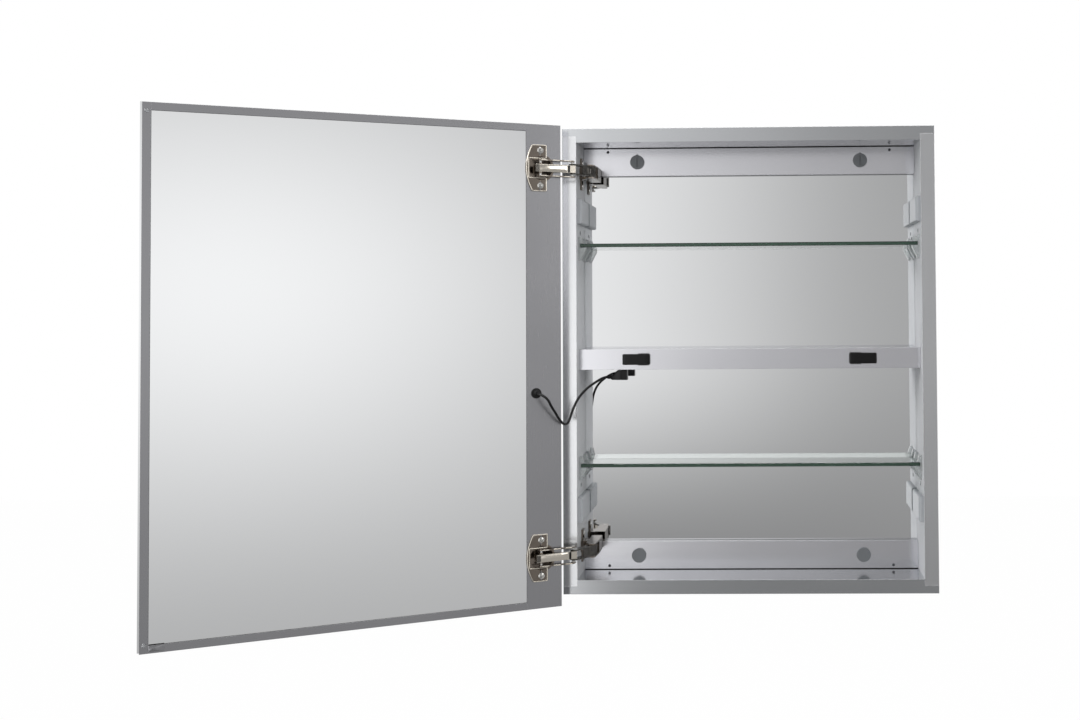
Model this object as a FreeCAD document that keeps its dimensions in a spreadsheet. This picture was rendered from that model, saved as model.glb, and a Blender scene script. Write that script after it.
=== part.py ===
import FreeCAD, Part
import math
import os
from types import SimpleNamespace

import Sketcher

# Mirrored medicine cabinet with its door open.
# Frame: +X to the right, +Y into the wall, +Z up. The origin is on the wall, behind the middle of the cabinet.
# Door pieces are drawn with the door shut and then swung open about the door's turning axis.

doc = FreeCAD.newDocument("medicine_cabinet")

# Driving dimensions in millimetres, and angles in degrees
SIZES = {
    # carcass
    "cabinet_width": 508,
    "cabinet_height": 633,
    "inner_depth": 77,
    "stile_face": 19,
    "lip_height": 19,
    "cap_thickness": 10.5,
    "skin": 1.6,
    "front_skin": 2.2,
    "seat_gap": 0.3,
    "overrun": 5,
    "mirror_thickness": 4,
    "pad_thickness": 1.8,
    "sheet_thickness": 1.2,
    "sheet_inset": 2,
    "bracket_leg": 42,
    "bracket_thickness": 3,
    "bracket_depth": 30,
    # rails across the back, and what turns or snaps in them
    "rail_height": 39,
    "rail_depth": 16,
    "lock_inset": 77,
    "plug_radius": 10,
    "plug_thickness": 2.4,
    "shank_radius": 6,
    "shank_clearance": 0.3,
    "shank_length": 5,
    "wall_hole_radius": 3.5,
    "slot_length": 13,
    "slot_width": 2.4,
    "slot_depth": 1.2,
    "pointer_reach": 12,
    "pointer_half_width": 2,
    "pointer_root": 8,
    "cam_radius": 8,
    "cam_thickness": 3.5,
    "cam_hook_reach": 13,
    "cam_hook_width": 5,
    "rail_screw_inset": 35,
    "rail_screw_edge": 5,
    "screw_head_radius": 2.6,
    "screw_head_height": 1.1,
    # glass shelves and their clips
    "shelf_setback": 20,
    "shelf_thickness": 5,
    "upper_shelf_drop": 140,
    "lower_shelf_rise": 152,
    "shelf_edge_chamfer": 0.7,
    "clip_width": 9,
    "clip_plate": 2.2,
    "clip_ledge": 10,
    "clip_ledge_thickness": 2.4,
    "clip_drop": 18,
    "clip_fin_height": 9,
    "clip_fin_root": 6,
    "clip_fin_tip": 3.4,
    "clip_play": 0.2,
    "rear_clip_inset": 10,
    # cover blocks on the side walls
    "block_from_hinge": 54,
    "block_tall": 34,
    "block_proud": 7,
    "block_setback": 3,
    "block_end_gap": 4,
    "block_rounding": 3,
    # middle rail, latches and cable connector
    "mid_rail_tall": 28,
    "driver_length": 130,
    "driver_room": 17,
    "driver_tall": 19,
    "driver_ear": 12,
    "driver_ear_thickness": 2,
    "latch_from_wall": 79.3,
    "latch_length": 38,
    "latch_tall": 17.6,
    "latch_proud": 4.5,
    "latch_foot_tall": 14,
    "latch_corner": 1.2,
    "latch_travel": 6,
    "latch_stem_length": 12,
    "latch_stem_tall": 7,
    "latch_foot": 2,
    "latch_gap": 0.3,
    "rib_pitch": 3.2,
    "rib_start": 3.4,
    "rib_depth": 0.9,
    "rib_width": 1.2,
    "connector_offset": 63,
    "connector_setback": 30,
    "connector_tall": 14.5,
    "connector_wide": 15,
    "plug_body_length": 14,
    "plug_flat": 3,
    "socket_body_length": 8,
    "connector_rounding": 1.5,
    "strain_radius": 3.4,
    "strain_length": 6,
    # door
    "door_drop": 8,
    "door_gap": 2,
    "door_side_inset": 2,
    "door_frame_depth": 16,
    "door_edge_face": 9.5,
    "hinge_strip": 47,
    "front_glass": 4,
    "glass_overhang": 2.5,
    "inner_mirror_thickness": 3,
    "inner_mirror_recess": 0.8,
    "heater_thickness": 1.2,
    "heater_margin": 60,
    "key_leg": 40,
    "key_thickness": 5,
    "bumper_radius": 2.5,
    "bumper_inset": 10,
    "bumper_play": 0.3,
    "grommet_along": 34,
    "grommet_height": -41,
    "grommet_flange_radius": 6.8,
    "grommet_flange": 2,
    "grommet_spout_radius": 3.6,
    "grommet_spout": 5,
    "cable_radius": 1.7,
    "plug_lead": 9.5,
    "grommet_lead": 11.35,
    # hinges: places in plan are from the carcass's left side and front plane
    "open_angle": 153.8,
    "pivot_side": -0.95,
    "pivot_front": -16.6,
    "hinge_from_ceiling": 39.5,
    "arm_pin_side": 38,
    "arm_pin_front": 5,
    "cup_pin_side": 30,
    "cup_pin_front": -0.4,
    "pin_radius": 1.7,
    "pin_fit": 0.03,
    "pin_clearance": 0.08,
    "cup_pin_clearance": 0.3,
    "lever_half_tall": 5,
    "lever_inner": 1.2,
    "lever_outer": 5.2,
    "lever_tail": 8,
    "lever_eye": 3.3,
    "lever_nose": 3,
    "plate_gap": 0.35,
    "plate_thickness": 1.8,
    "knuckle_eye": 4.3,
    "knuckle_back": 6,
    "knuckle_web_trim": 14,
    "knuckle_slot_length": 6,
    "knuckle_slot_width": 2.6,
    "arm_eye": 4.8,
    "arm_end_gap": 14,
    "arm_root_side": 30,
    "arm_web_start": 26,
    "arm_web_proud": 5,
    "base_start": 30,
    "base_length": 26,
    "base_wing": 22,
    "base_wing_width": 14,
    "base_wing_thickness": 2.5,
    "base_screw_height": 16,
    "cup_side": 29.5,
    "cup_radius": 17.5,
    "cup_depth": 12.5,
    "cup_wall": 1.6,
    "cup_rim": 1,
    "cup_rim_thickness": 0.8,
    "cup_clearance": 0.25,
    "flange_near": 21.5,
    "flange_far": 49.5,
    "flange_half_tall": 31,
    "flange_thickness": 1.5,
    "flange_bow_radius": 62,
    "flange_corner": 4,
    "flange_mouth_half_tall": 12.5,
    "flange_mouth_far": 45.4,
    "cup_screw_side": 30,
    "cup_screw_half_spacing": 23.5,
    "cup_screw_radius": 3.6,
    "cup_screw_height": 0.9,
    "ear_half": 2.6,
}

# Counts
SCREW_SIDES = 12
FACET_SIDES = 16
CABLE_SIDES = 8
LATCH_RIBS = 5

# Shares: of a cable run that its bend takes, of the knuckle before its slot, of an edge off its axis,
# and of a many-sided bore's corners past its flats
BEND_SHARE = 0.45
SLOT_SHARE = 0.25
PARALLEL_SHARE = 1e-6
BORE_SHARE = 1 / math.cos(math.pi / FACET_SIDES)


class Size:
    """A dimension with its value and the sheet expression that it comes from."""

    def __init__(self, value, text):
        self.value = value
        self.text = text

    def _join(self, other, sign, value):
        text = other.text if isinstance(other, Size) else repr(other)
        return Size(value, f"({self.text} {sign} {text})")

    def __add__(self, other):
        return self._join(other, "+", self.value + plain(other))

    def __sub__(self, other):
        return self._join(other, "-", self.value - plain(other))

    def __mul__(self, other):
        return self._join(other, "*", self.value * plain(other))

    def __truediv__(self, other):
        return self._join(other, "/", self.value / plain(other))

    def __neg__(self):
        return Size(-self.value, f"(-1 * {self.text})")


def plain(size):
    """The number that a size, or a number, stands for."""
    return size.value if isinstance(size, Size) else size


def write_sheet():
    """Puts each dimension into a cell of its own and gives back the sizes by name."""
    sheet = doc.addObject("Spreadsheet::Sheet", "sizes")
    for row, (name, value) in enumerate(SIZES.items(), 1):
        sheet.set(f"A{row}", str(value))
        sheet.setAlias(f"A{row}", name)
    doc.recompute()
    return SimpleNamespace(**{name: Size(value, f"sizes.{name}") for name, value in SIZES.items()})


def bind(item, prop, size):
    """Ties one property to the sheet."""
    if isinstance(size, Size):
        item.setExpression(prop, size.text)


def place(item, point):
    for axis, size in zip("xyz", point):
        bind(item, f"Placement.Base.{axis}", size)
    return item


def box(name, low, high):
    """A box from its lowest corner to its highest."""
    item = doc.addObject("Part::Box", name)
    for prop, near, far in zip(("Length", "Width", "Height"), low, high):
        bind(item, prop, far - near)
    return place(item, low)


TURNS = {
    "x": FreeCAD.Rotation(FreeCAD.Vector(0, 1, 0), 90),
    "y": FreeCAD.Rotation(FreeCAD.Vector(1, 0, 0), -90),
    "z": FreeCAD.Rotation(),
}


def rod(name, axis, start, radius, length):
    """A round bar from its start along +X, +Y or +Z."""
    item = doc.addObject("Part::Cylinder", name)
    bind(item, "Radius", radius)
    bind(item, "Height", length)
    item.Placement = FreeCAD.Placement(FreeCAD.Vector(), TURNS[axis])
    return place(item, start)


def facet_rod(name, axis, start, radius, length, sides=FACET_SIDES):
    """A bar with flat sides, for a small piece or one whose round is hidden."""
    item = doc.addObject("Part::Prism", name)
    item.Polygon = sides
    bind(item, "Circumradius", radius)
    bind(item, "Height", length)
    item.Placement = FreeCAD.Placement(FreeCAD.Vector(), TURNS[axis])
    return place(item, start)


def facet_bore(name, axis, start, radius, length):
    """A bore with flat sides that clears a round of the given radius."""
    return facet_rod(name, axis, start, radius * BORE_SHARE, length)


def screw_head(name, axis, start, radius, height):
    """A small screw head."""
    return facet_rod(name, axis, start, radius, height, SCREW_SIDES)


def profile(name, plane, points, start, length):
    """A closed outline on one of the origin planes, padded along that plane's normal."""
    body = doc.addObject("PartDesign::Body", name)
    sketch = body.newObject("Sketcher::SketchObject", f"{name}_outline")
    support = [f for f in body.Origin.OriginFeatures if f.Role == plane][0]
    sketch.AttachmentSupport = [(support, "")]
    sketch.MapMode = "FlatFace"
    bind(sketch, "AttachmentOffset.Base.z", start)
    corners = [FreeCAD.Vector(plain(x), plain(y), 0) for x, y in points]
    count = len(corners)
    for i in range(count):
        sketch.addGeometry(Part.LineSegment(corners[i], corners[(i + 1) % count]), False)
    for i in range(count):
        sketch.addConstraint(Sketcher.Constraint("Coincident", i, 2, (i + 1) % count, 1))
    for i, point in enumerate(points):
        for kind, size, value in zip(("DistanceX", "DistanceY"), point, corners[i]):
            index = sketch.addConstraint(Sketcher.Constraint(kind, -1, 1, i, 1, value))
            if isinstance(size, Size):
                sketch.setExpression(f"Constraints[{index}]", size.text)
    pad = body.newObject("PartDesign::Pad", f"{name}_pad")
    pad.Profile = sketch
    bind(pad, "Length", length)
    return body


def fuse(name, *items):
    item = doc.addObject("Part::MultiFuse", name)
    item.Shapes = list(items)
    return item


def cut(name, base, *tools):
    """The base less all the tools."""
    item = doc.addObject("Part::Cut", name)
    item.Base = base
    item.Tool = tools[0] if len(tools) == 1 else fuse(f"{name}_tools", *tools)
    return item


def common(name, *items):
    item = doc.addObject("Part::MultiCommon", name)
    item.Shapes = list(items)
    return item


def group(name, *items):
    """Separate solids kept together in one node."""
    item = doc.addObject("Part::Compound", name)
    item.Links = list(items)
    return item


def rounded(name, base, radius, wanted):
    """The base with a fillet on each edge that wanted accepts."""
    doc.recompute()
    item = doc.addObject("Part::Fillet", name)
    item.Base = base
    chosen = [i for i, edge in enumerate(base.Shape.Edges, 1) if wanted(edge)]
    item.Edges = [(i, plain(radius), plain(radius)) for i in chosen]
    return item


def bevelled(name, base, size, wanted):
    """The base with a chamfer on each edge that wanted accepts."""
    doc.recompute()
    item = doc.addObject("Part::Chamfer", name)
    item.Base = base
    chosen = [i for i, edge in enumerate(base.Shape.Edges, 1) if wanted(edge)]
    item.Edges = [(i, plain(size), plain(size)) for i in chosen]
    return item


def runs_along(edge, axis):
    """Whether an edge is straight and parallel to an axis."""
    if len(edge.Vertexes) != 2 or not isinstance(edge.Curve, Part.Line):
        return False
    step = edge.Vertexes[1].Point.sub(edge.Vertexes[0].Point)
    return abs(abs(getattr(step, axis)) - step.Length) < step.Length * PARALLEL_SHARE


NODES = {}


def keep(name, item):
    """Names a finished sub-part, which gives its file's name."""
    item.Label = name
    NODES[name] = item
    return item


s = write_sheet()
zero = s.seat_gap - s.seat_gap

# Main planes of the carcass
right = s.cabinet_width / 2
left = -right
top = s.cabinet_height / 2
depth = s.inner_depth + s.mirror_thickness + s.pad_thickness + s.sheet_thickness
front = -depth
panel_back = -s.sheet_thickness
mirror_face = front + s.inner_depth
mirror_back = mirror_face + s.mirror_thickness
wall_in = right - s.stile_face
ceiling = top - s.lip_height
lock_side = wall_in - s.lock_inset
stile_end = top - s.cap_thickness
rail_low = ceiling - s.seat_gap - s.rail_height
plug_height = rail_low + s.rail_height / 2
hinge_height = ceiling - s.hinge_from_ceiling
block_height = hinge_height - s.block_from_hinge

# Side panels: channels that are open behind, between the end caps of the top and bottom panels
for side, sign in (("left", -1), ("right", 1)):
    outer, inner = right * sign, wall_in * sign
    outer_skin, inner_skin = (right - s.skin) * sign, (wall_in + s.skin) * sign
    section = [
        (outer, front),
        (inner, front),
        (inner, panel_back),
        (inner_skin, panel_back),
        (inner_skin, front + s.front_skin),
        (outer_skin, front + s.front_skin),
        (outer_skin, panel_back),
        (outer, panel_back),
    ]
    keep(f"{side}_side_panel", profile(f"{side}_side", "XY_Plane", section, -stile_end, stile_end * 2))

# Top and bottom panels: a thick lip between the stiles, and thinner ends that cap them
for end, sign in (("top", 1), ("bottom", -1)):
    outline = [
        (left, stile_end * sign),
        (left, top * sign),
        (right, top * sign),
        (right, stile_end * sign),
        (wall_in, stile_end * sign),
        (wall_in, ceiling * sign),
        (-wall_in, ceiling * sign),
        (-wall_in, stile_end * sign),
    ]
    slab = profile(f"{end}_slab", "XZ_Plane", outline, s.sheet_thickness, depth - s.sheet_thickness)
    low, high = sorted(((ceiling + s.skin) * sign, (top - s.skin) * sign), key=plain)
    hollow = box(
        f"{end}_hollow",
        (-wall_in + s.front_skin, front + s.front_skin, low),
        (wall_in - s.front_skin, s.overrun, high),
    )
    keep(f"{end}_panel", cut(f"{end}_channel", slab, hollow))

# Corner brackets, in the angle of the side channels and the end caps
legs = []
for sx in (-1, 1):
    for sz in (-1, 1):
        x_out, x_in = (right - s.skin) * sx, (wall_in + s.skin) * sx
        x_leg = (wall_in + s.skin + s.bracket_thickness) * sx
        z_end = stile_end * sz
        z_foot = (stile_end - s.bracket_leg) * sz
        z_leg = (stile_end - s.bracket_thickness) * sz
        outline = [
            (x_in, z_end),
            (x_out, z_end),
            (x_out, z_leg),
            (x_leg, z_leg),
            (x_leg, z_foot),
            (x_in, z_foot),
        ]
        legs.append(profile(f"bracket_{len(legs)}", "XZ_Plane", outline, -mirror_face, s.bracket_depth))
keep("corner_brackets", group("bracket_set", *legs))

# Back sheet with the four wall holes
sheet_body = box(
    "sheet_blank",
    (left + s.sheet_inset, panel_back, -top + s.sheet_inset),
    (right - s.sheet_inset, zero, top - s.sheet_inset),
)
PLUGS = [(sx, sz) for sz in (1, -1) for sx in (-1, 1)]
wall_holes = [
    rod(
        f"wall_hole_{i}",
        "y",
        (lock_side * sx, -s.overrun, plug_height * sz),
        s.wall_hole_radius,
        s.overrun * 2,
    )
    for i, (sx, sz) in enumerate(PLUGS)
]
keep("back_sheet", cut("sheet_drilled", sheet_body, *wall_holes))

# Mirror on the back, on its foam pad, between the two rails
mirror_half = rail_low - s.seat_gap
span = wall_in - s.seat_gap
for name, near, far in (("rear_mirror", mirror_face, mirror_back), ("mirror_pad", mirror_back, panel_back)):
    keep(name, box(f"{name}_plate", (-span, near, -mirror_half), (span, far, mirror_half)))

# Hanging rail at the top and fixing rail at the bottom: channels open behind, with two round holes each
rail_face = panel_back - s.rail_depth
for name, sz in (("top_hanging_rail", 1), ("bottom_fixing_rail", -1)):
    z_out, z_in = (rail_low + s.rail_height) * sz, rail_low * sz
    z_out_skin, z_in_skin = (rail_low + s.rail_height - s.skin) * sz, (rail_low + s.skin) * sz
    section = [
        (rail_face, z_in),
        (rail_face, z_out),
        (panel_back, z_out),
        (panel_back, z_out_skin),
        (rail_face + s.skin, z_out_skin),
        (rail_face + s.skin, z_in_skin),
        (panel_back, z_in_skin),
        (panel_back, z_in),
    ]
    rail = profile(f"{name}_section", "YZ_Plane", section, -span, span * 2)
    holes = [
        rod(
            f"{name}_hole_{i}",
            "y",
            (lock_side * sx, rail_face - s.overrun, plug_height * sz),
            s.shank_radius + s.shank_clearance,
            s.overrun * 2,
        )
        for i, sx in enumerate((-1, 1))
    ]
    keep(name, cut(f"{name}_drilled", rail, *holes))

# Hang locks that turn a quarter to hook the wall screws, and plain caps below
for side, sx in (("left", -1), ("right", 1)):
    x, z = lock_side * sx, plug_height
    head_face = rail_face - s.plug_thickness
    head = rod(f"{side}_lock_head", "y", (x, head_face, z), s.plug_radius, s.plug_thickness - s.latch_gap)
    shank_length = s.plug_thickness + s.skin + s.shank_length
    shank = facet_rod(f"{side}_lock_shank", "y", (x, head_face, z), s.shank_radius, shank_length)
    cam_start = head_face + shank_length
    cam = facet_rod(f"{side}_lock_cam", "y", (x, cam_start, z), s.cam_radius, s.cam_thickness)
    hook = box(
        f"{side}_lock_hook",
        (x - s.cam_hook_width / 2, cam_start, z),
        (x + s.cam_hook_width / 2, cam_start + s.cam_thickness, z + s.cam_hook_reach),
    )
    slot = box(
        f"{side}_lock_slot",
        (x - s.slot_width / 2, head_face - s.overrun, z - s.slot_length / 2),
        (x + s.slot_width / 2, head_face + s.slot_depth, z + s.slot_length / 2),
    )
    tip = [
        (x - s.pointer_half_width, z + s.pointer_root),
        (x + s.pointer_half_width, z + s.pointer_root),
        (x, z + s.pointer_reach),
    ]
    head_depth = s.plug_thickness - s.latch_gap
    pointer = profile(f"{side}_lock_pointer", "XZ_Plane", tip, -head_face - head_depth, head_depth)
    body = fuse(f"{side}_lock_body", head, shank, cam, hook, pointer)
    keep(f"{side}_hang_lock", cut(f"{side}_lock_slotted", body, slot))

caps = []
for i, sx in enumerate((-1, 1)):
    x, z = lock_side * sx, -plug_height
    head_face = rail_face - s.plug_thickness
    head = rod(f"cap_head_{i}", "y", (x, head_face, z), s.plug_radius, s.plug_thickness)
    shank_length = s.plug_thickness + s.shank_length
    shank = facet_rod(f"cap_shank_{i}", "y", (x, head_face, z), s.shank_radius, shank_length)
    caps.append(fuse(f"cap_{i}", head, shank))
keep("bottom_screw_caps", group("cap_pair", *caps))

# Screw heads near the ends of both rails
heads = []
for sz in (1, -1):
    for sx in (-1, 1):
        z = (rail_low + s.rail_height - s.rail_screw_edge) * sz
        start = ((span - s.rail_screw_inset) * sx, rail_face - s.screw_head_height, z)
        name = f"rail_screw_{len(heads)}"
        heads.append(screw_head(name, "y", start, s.screw_head_radius, s.screw_head_height))
keep("rail_screws", group("rail_screw_set", *heads))

# Glass shelves, with their long edges ground off
shelf_front = front + s.shelf_setback
shelf_back = mirror_face - s.seat_gap
shelf_half = wall_in - s.clip_plate - s.clip_play
LEVELS = (("upper", ceiling - s.upper_shelf_drop), ("lower", s.lower_shelf_rise - ceiling))
for name, height in LEVELS:
    under = height - s.shelf_thickness / 2
    plate = box(
        f"{name}_shelf_plate",
        (-shelf_half, shelf_front, under),
        (shelf_half, shelf_back, under + s.shelf_thickness),
    )
    edge_y = plain(shelf_front)
    ground = bevelled(
        f"{name}_shelf_ground",
        plate,
        s.shelf_edge_chamfer,
        lambda e: runs_along(e, "x") and abs(e.CenterOfMass.y - edge_y) < plain(s.seat_gap),
    )
    keep(f"{name}_glass_shelf", ground)

    # Two clips on each side wall: a plate, a ledge under the glass with a slanted leaf, and a fin above
    clips = []
    over = under + s.shelf_thickness + s.clip_play
    ledge_top = under - s.clip_play
    for sx in (-1, 1):
        def out(reach, sign=sx):
            return (wall_in - reach) * sign

        outline = [
            (out(zero), under - s.clip_drop),
            (out(s.clip_plate), under - s.clip_drop),
            (out(s.clip_ledge), ledge_top - s.clip_ledge_thickness),
            (out(s.clip_ledge), ledge_top),
            (out(s.clip_plate), ledge_top),
            (out(s.clip_plate), over),
            (out(s.clip_fin_root), over),
            (out(s.clip_fin_tip), over + s.clip_fin_height),
            (out(zero), over + s.clip_fin_height),
        ]
        for clip_end in (shelf_front + s.seat_gap + s.clip_width, shelf_back - s.rear_clip_inset):
            clips.append(profile(f"{name}_clip_{len(clips)}", "XZ_Plane", outline, -clip_end, s.clip_width))
    keep(f"{name}_shelf_clips", group(f"{name}_clip_set", *clips))

# Grey cover blocks on the side walls, beside the hinges and in the same places opposite
for side, sx in (("left", -1), ("right", 1)):
    blocks = []
    for sz in (1, -1):
        x_low, x_high = sorted((wall_in * sx, (wall_in - s.block_proud) * sx), key=plain)
        z = block_height * sz
        y = front + s.block_setback
        blank = box(
            f"{side}_block_{len(blocks)}",
            (x_low, y, z - s.block_tall / 2),
            (x_high, mirror_face - s.block_end_gap, z + s.block_tall / 2),
        )
        face_x = plain(wall_in - s.block_proud) * sx
        blocks.append(
            rounded(
                f"{side}_cover_{len(blocks)}",
                blank,
                s.block_rounding,
                lambda e: abs(e.CenterOfMass.x - face_x) < plain(s.seat_gap),
            )
        )
    keep(f"{side}_cover_blocks", group(f"{side}_block_pair", *blocks))

# Middle rail: a channel cover with the latch windows, a closing plate and the lamp driver inside
mid_half = s.mid_rail_tall / 2
mid_back = mirror_face - s.seat_gap
section = [
    (shelf_front, -mid_half),
    (shelf_front, mid_half),
    (mid_back, mid_half),
    (mid_back, mid_half - s.skin),
    (shelf_front + s.skin, mid_half - s.skin),
    (shelf_front + s.skin, -mid_half + s.skin),
    (mid_back, -mid_half + s.skin),
    (mid_back, -mid_half),
]
mid_shell = profile("mid_rail_section", "YZ_Plane", section, -span, span * 2)
windows = []
for sx in (-1, 1):
    x = (wall_in - s.latch_from_wall) * sx
    reach = s.latch_stem_length / 2 + s.latch_gap
    x_low, x_high = sorted((x + reach * sx, x - (reach + s.latch_travel) * sx), key=plain)
    half = s.latch_stem_tall / 2 + s.latch_gap
    windows.append(
        box(
            f"latch_window_{len(windows)}",
            (x_low, shelf_front - s.overrun, -half),
            (x_high, shelf_front + s.overrun, half),
        )
    )
keep("mid_rail_cover", cut("mid_rail_windowed", mid_shell, *windows))
inside = mid_half - s.skin - s.seat_gap
keep(
    "mid_rail_plate",
    box("mid_rail_closer", (-span, mid_back - s.skin, -inside), (span, mid_back, inside)),
)
driver_back = mid_back - s.skin
driver_case = box(
    "driver_case",
    (-s.driver_length / 2, shelf_front + s.driver_room, -s.driver_tall / 2),
    (s.driver_length / 2, driver_back, s.driver_tall / 2),
)
driver_ears = box(
    "driver_ears",
    (-s.driver_length / 2 - s.driver_ear, driver_back - s.driver_ear_thickness, -s.driver_tall / 2),
    (s.driver_length / 2 + s.driver_ear, driver_back, s.driver_tall / 2),
)
keep("lamp_driver", fuse("driver_whole", driver_case, driver_ears))

# Slide latches: a finger piece with ribs on the half towards the middle, and a stem with a foot
for side, sx in (("left", -1), ("right", 1)):
    x = (wall_in - s.latch_from_wall) * sx
    outer_end = x + s.latch_length / 2 * sx
    grip_end = x - s.latch_length / 2 * sx
    foot_half, wide = s.latch_foot_tall / 2, s.latch_tall / 2
    edge = wide - s.rib_depth
    outline = [
        (outer_end, -edge + s.latch_corner),
        (outer_end - s.latch_corner * sx, -edge),
        (grip_end + s.latch_corner * sx, -edge),
        (grip_end, -edge + s.latch_corner),
        (grip_end, edge - s.latch_corner),
        (grip_end + s.latch_corner * sx, edge),
        (outer_end - s.latch_corner * sx, edge),
        (outer_end, edge - s.latch_corner),
    ]
    skin_y = shelf_front - s.latch_gap
    pad_start = -skin_y
    plate = profile(f"{side}_latch_plate", "XZ_Plane", outline, pad_start, s.latch_proud - s.latch_gap)
    ribs = []
    for i in range(LATCH_RIBS):
        rib_x = grip_end + (s.rib_pitch * i + s.rib_start) * sx
        ribs.append(
            box(
                f"{side}_latch_rib_{i}",
                (rib_x - s.rib_width / 2, shelf_front - s.latch_proud - s.rib_depth, -wide),
                (rib_x + s.rib_width / 2, skin_y, wide),
            )
        )
    stem_half = s.latch_stem_length / 2
    stem = box(
        f"{side}_latch_stem",
        (x - stem_half, skin_y, -s.latch_stem_tall / 2),
        (x + stem_half, shelf_front + s.skin + s.latch_gap, s.latch_stem_tall / 2),
    )
    foot = box(
        f"{side}_latch_foot",
        (x - stem_half - s.latch_foot, shelf_front + s.skin + s.latch_gap, -foot_half),
        (x + stem_half + s.latch_foot, shelf_front + s.skin + s.latch_gap + s.latch_foot, foot_half),
    )
    keep(f"{side}_slide_latch", fuse(f"{side}_latch_whole", plate, stem, foot, *ribs))

# Cable connector under the middle rail: a fixed socket and the cable's plug
plug_x = left + s.connector_offset
plug_y = front + s.connector_setback
half_wide, conn_top = s.connector_wide / 2, -mid_half
conn_z = conn_top - s.connector_tall / 2


def connector_body(name, x_low, length):
    """A moulded block under the rail."""
    blank = box(
        f"{name}_blank",
        (x_low, plug_y - half_wide, conn_top - s.connector_tall),
        (x_low + length, plug_y + half_wide, conn_top),
    )
    return rounded(f"{name}_moulded", blank, s.connector_rounding, lambda e: runs_along(e, "x"))


keep("cable_socket", connector_body("socket", plug_x + s.plug_body_length, s.socket_body_length))
plug_end, plug_low, plug_top = plug_x + s.plug_body_length, conn_top - s.connector_tall, conn_top - s.seat_gap
wedge = [
    (plug_x, plug_low),
    (plug_end, plug_low),
    (plug_end, plug_top),
    (plug_end - s.plug_flat, plug_top),
    (plug_x, conn_z + s.strain_radius),
]
plug_shell = profile("plug_shell", "XZ_Plane", wedge, -plug_y - half_wide, s.connector_wide)
strain_end = plug_x - s.strain_length
strain = facet_rod("plug_strain", "x", (strain_end, plug_y, conn_z), s.strain_radius, s.strain_length * 2)
bore_start = (strain_end - s.strain_length, plug_y, conn_z)
plug_bore = rod("plug_bore", "x", bore_start, s.cable_radius, s.strain_length * 2)
keep("cable_plug", cut("plug_bored", fuse("plug_whole", plug_shell, strain), plug_bore))

# Places in plan of the hinge pins, with the door as the photograph has it
pivot = FreeCAD.Vector(plain(left + s.pivot_side), plain(front + s.pivot_front), 0)
arm_pin = FreeCAD.Vector(plain(left + s.arm_pin_side), plain(front + s.arm_pin_front), 0)
cup_pin_shut = FreeCAD.Vector(plain(left + s.cup_pin_side), plain(front + s.cup_pin_front), 0)
opening = FreeCAD.Rotation(FreeCAD.Vector(0, 0, 1), -plain(s.open_angle))
SWING = FreeCAD.Placement(pivot.sub(opening.multVec(pivot)), opening)
cup_pin = SWING.multVec(cup_pin_shut)
lever_line = arm_pin.sub(pivot)
knuckle_line = cup_pin.sub(pivot)
elbow_pin = arm_pin.add(knuckle_line)
lever_length = Size(lever_line.Length, repr(lever_line.Length))
knuckle_length = Size(knuckle_line.Length, repr(knuckle_line.Length))
LEVER_TURN = FreeCAD.Rotation(FreeCAD.Vector(1, 0, 0), lever_line)
knuckle_angle = math.degrees(math.atan2(knuckle_line.y, knuckle_line.x))
KNUCKLE_TURN = FreeCAD.Rotation(FreeCAD.Vector(0, 0, 1), knuckle_angle)

# Heights of the hinge layers, from the lever in the middle outwards
knuckle_in = s.lever_half_tall + s.plate_gap
knuckle_out = knuckle_in + s.plate_thickness
arm_in = knuckle_out + s.plate_gap
arm_out = arm_in + s.plate_thickness
link_in = arm_out + s.plate_gap
link_out = link_in + s.plate_thickness
loose_bore = s.pin_radius + s.cup_pin_clearance
free_bore = s.pin_radius + s.pin_clearance
tight_bore = s.pin_radius + s.pin_fit


def at(name, item, point, turn, height):
    """A finished hinge piece, drawn about its pin at the origin, put in its place."""
    holder = group(name, item)
    holder.Placement = FreeCAD.Placement(FreeCAD.Vector(point.x, point.y, plain(height)), turn)
    return holder


def lever(name):
    """The inner lever, from the cup pin to the elbow pin: a bar beside the pins, with an eye round each."""
    half = s.lever_half_tall
    bar = box(
        f"{name}_bar",
        (-s.lever_tail, -s.lever_outer, -half),
        (lever_length + s.lever_nose, -s.lever_inner, half),
    )
    eyes = [
        facet_rod(f"{name}_eye_{i}", "z", (x, zero, -half), s.lever_eye, half * 2)
        for i, x in enumerate((zero, lever_length))
    ]
    bores = [
        rod(f"{name}_cup_bore", "z", (zero, zero, -s.cup_radius), loose_bore, s.cup_radius * 2),
        rod(f"{name}_elbow_bore", "z", (lever_length, zero, -s.cup_radius), free_bore, s.cup_radius * 2),
    ]
    return cut(f"{name}_bored", fuse(f"{name}_forged", bar, *eyes), *bores)


def side_links(name):
    """The pair of outer plates that run beside the lever."""
    plates = []
    for low in (link_in, -link_out):
        strip = box(
            f"{name}_strip_{len(plates)}",
            (zero, -s.lever_outer, low),
            (lever_length, -s.lever_inner, low + s.plate_thickness),
        )
        ends = [
            facet_rod(f"{name}_end_{len(plates)}_{i}", "z", (x, zero, low), s.lever_eye, s.plate_thickness)
            for i, x in enumerate((zero, lever_length))
        ]
        bores = [
            facet_bore(f"{name}_{end}_bore_{len(plates)}", "z", (x, zero, low - s.overrun), bore, s.overrun * 3)
            for end, x, bore in (("cup", zero, loose_bore), ("elbow", lever_length, free_bore))
        ]
        blank = fuse(f"{name}_blank_{len(plates)}", strip, *ends)
        plates.append(cut(f"{name}_plate_{len(plates)}", blank, *bores))
    return group(f"{name}_pair", *plates)


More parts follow.
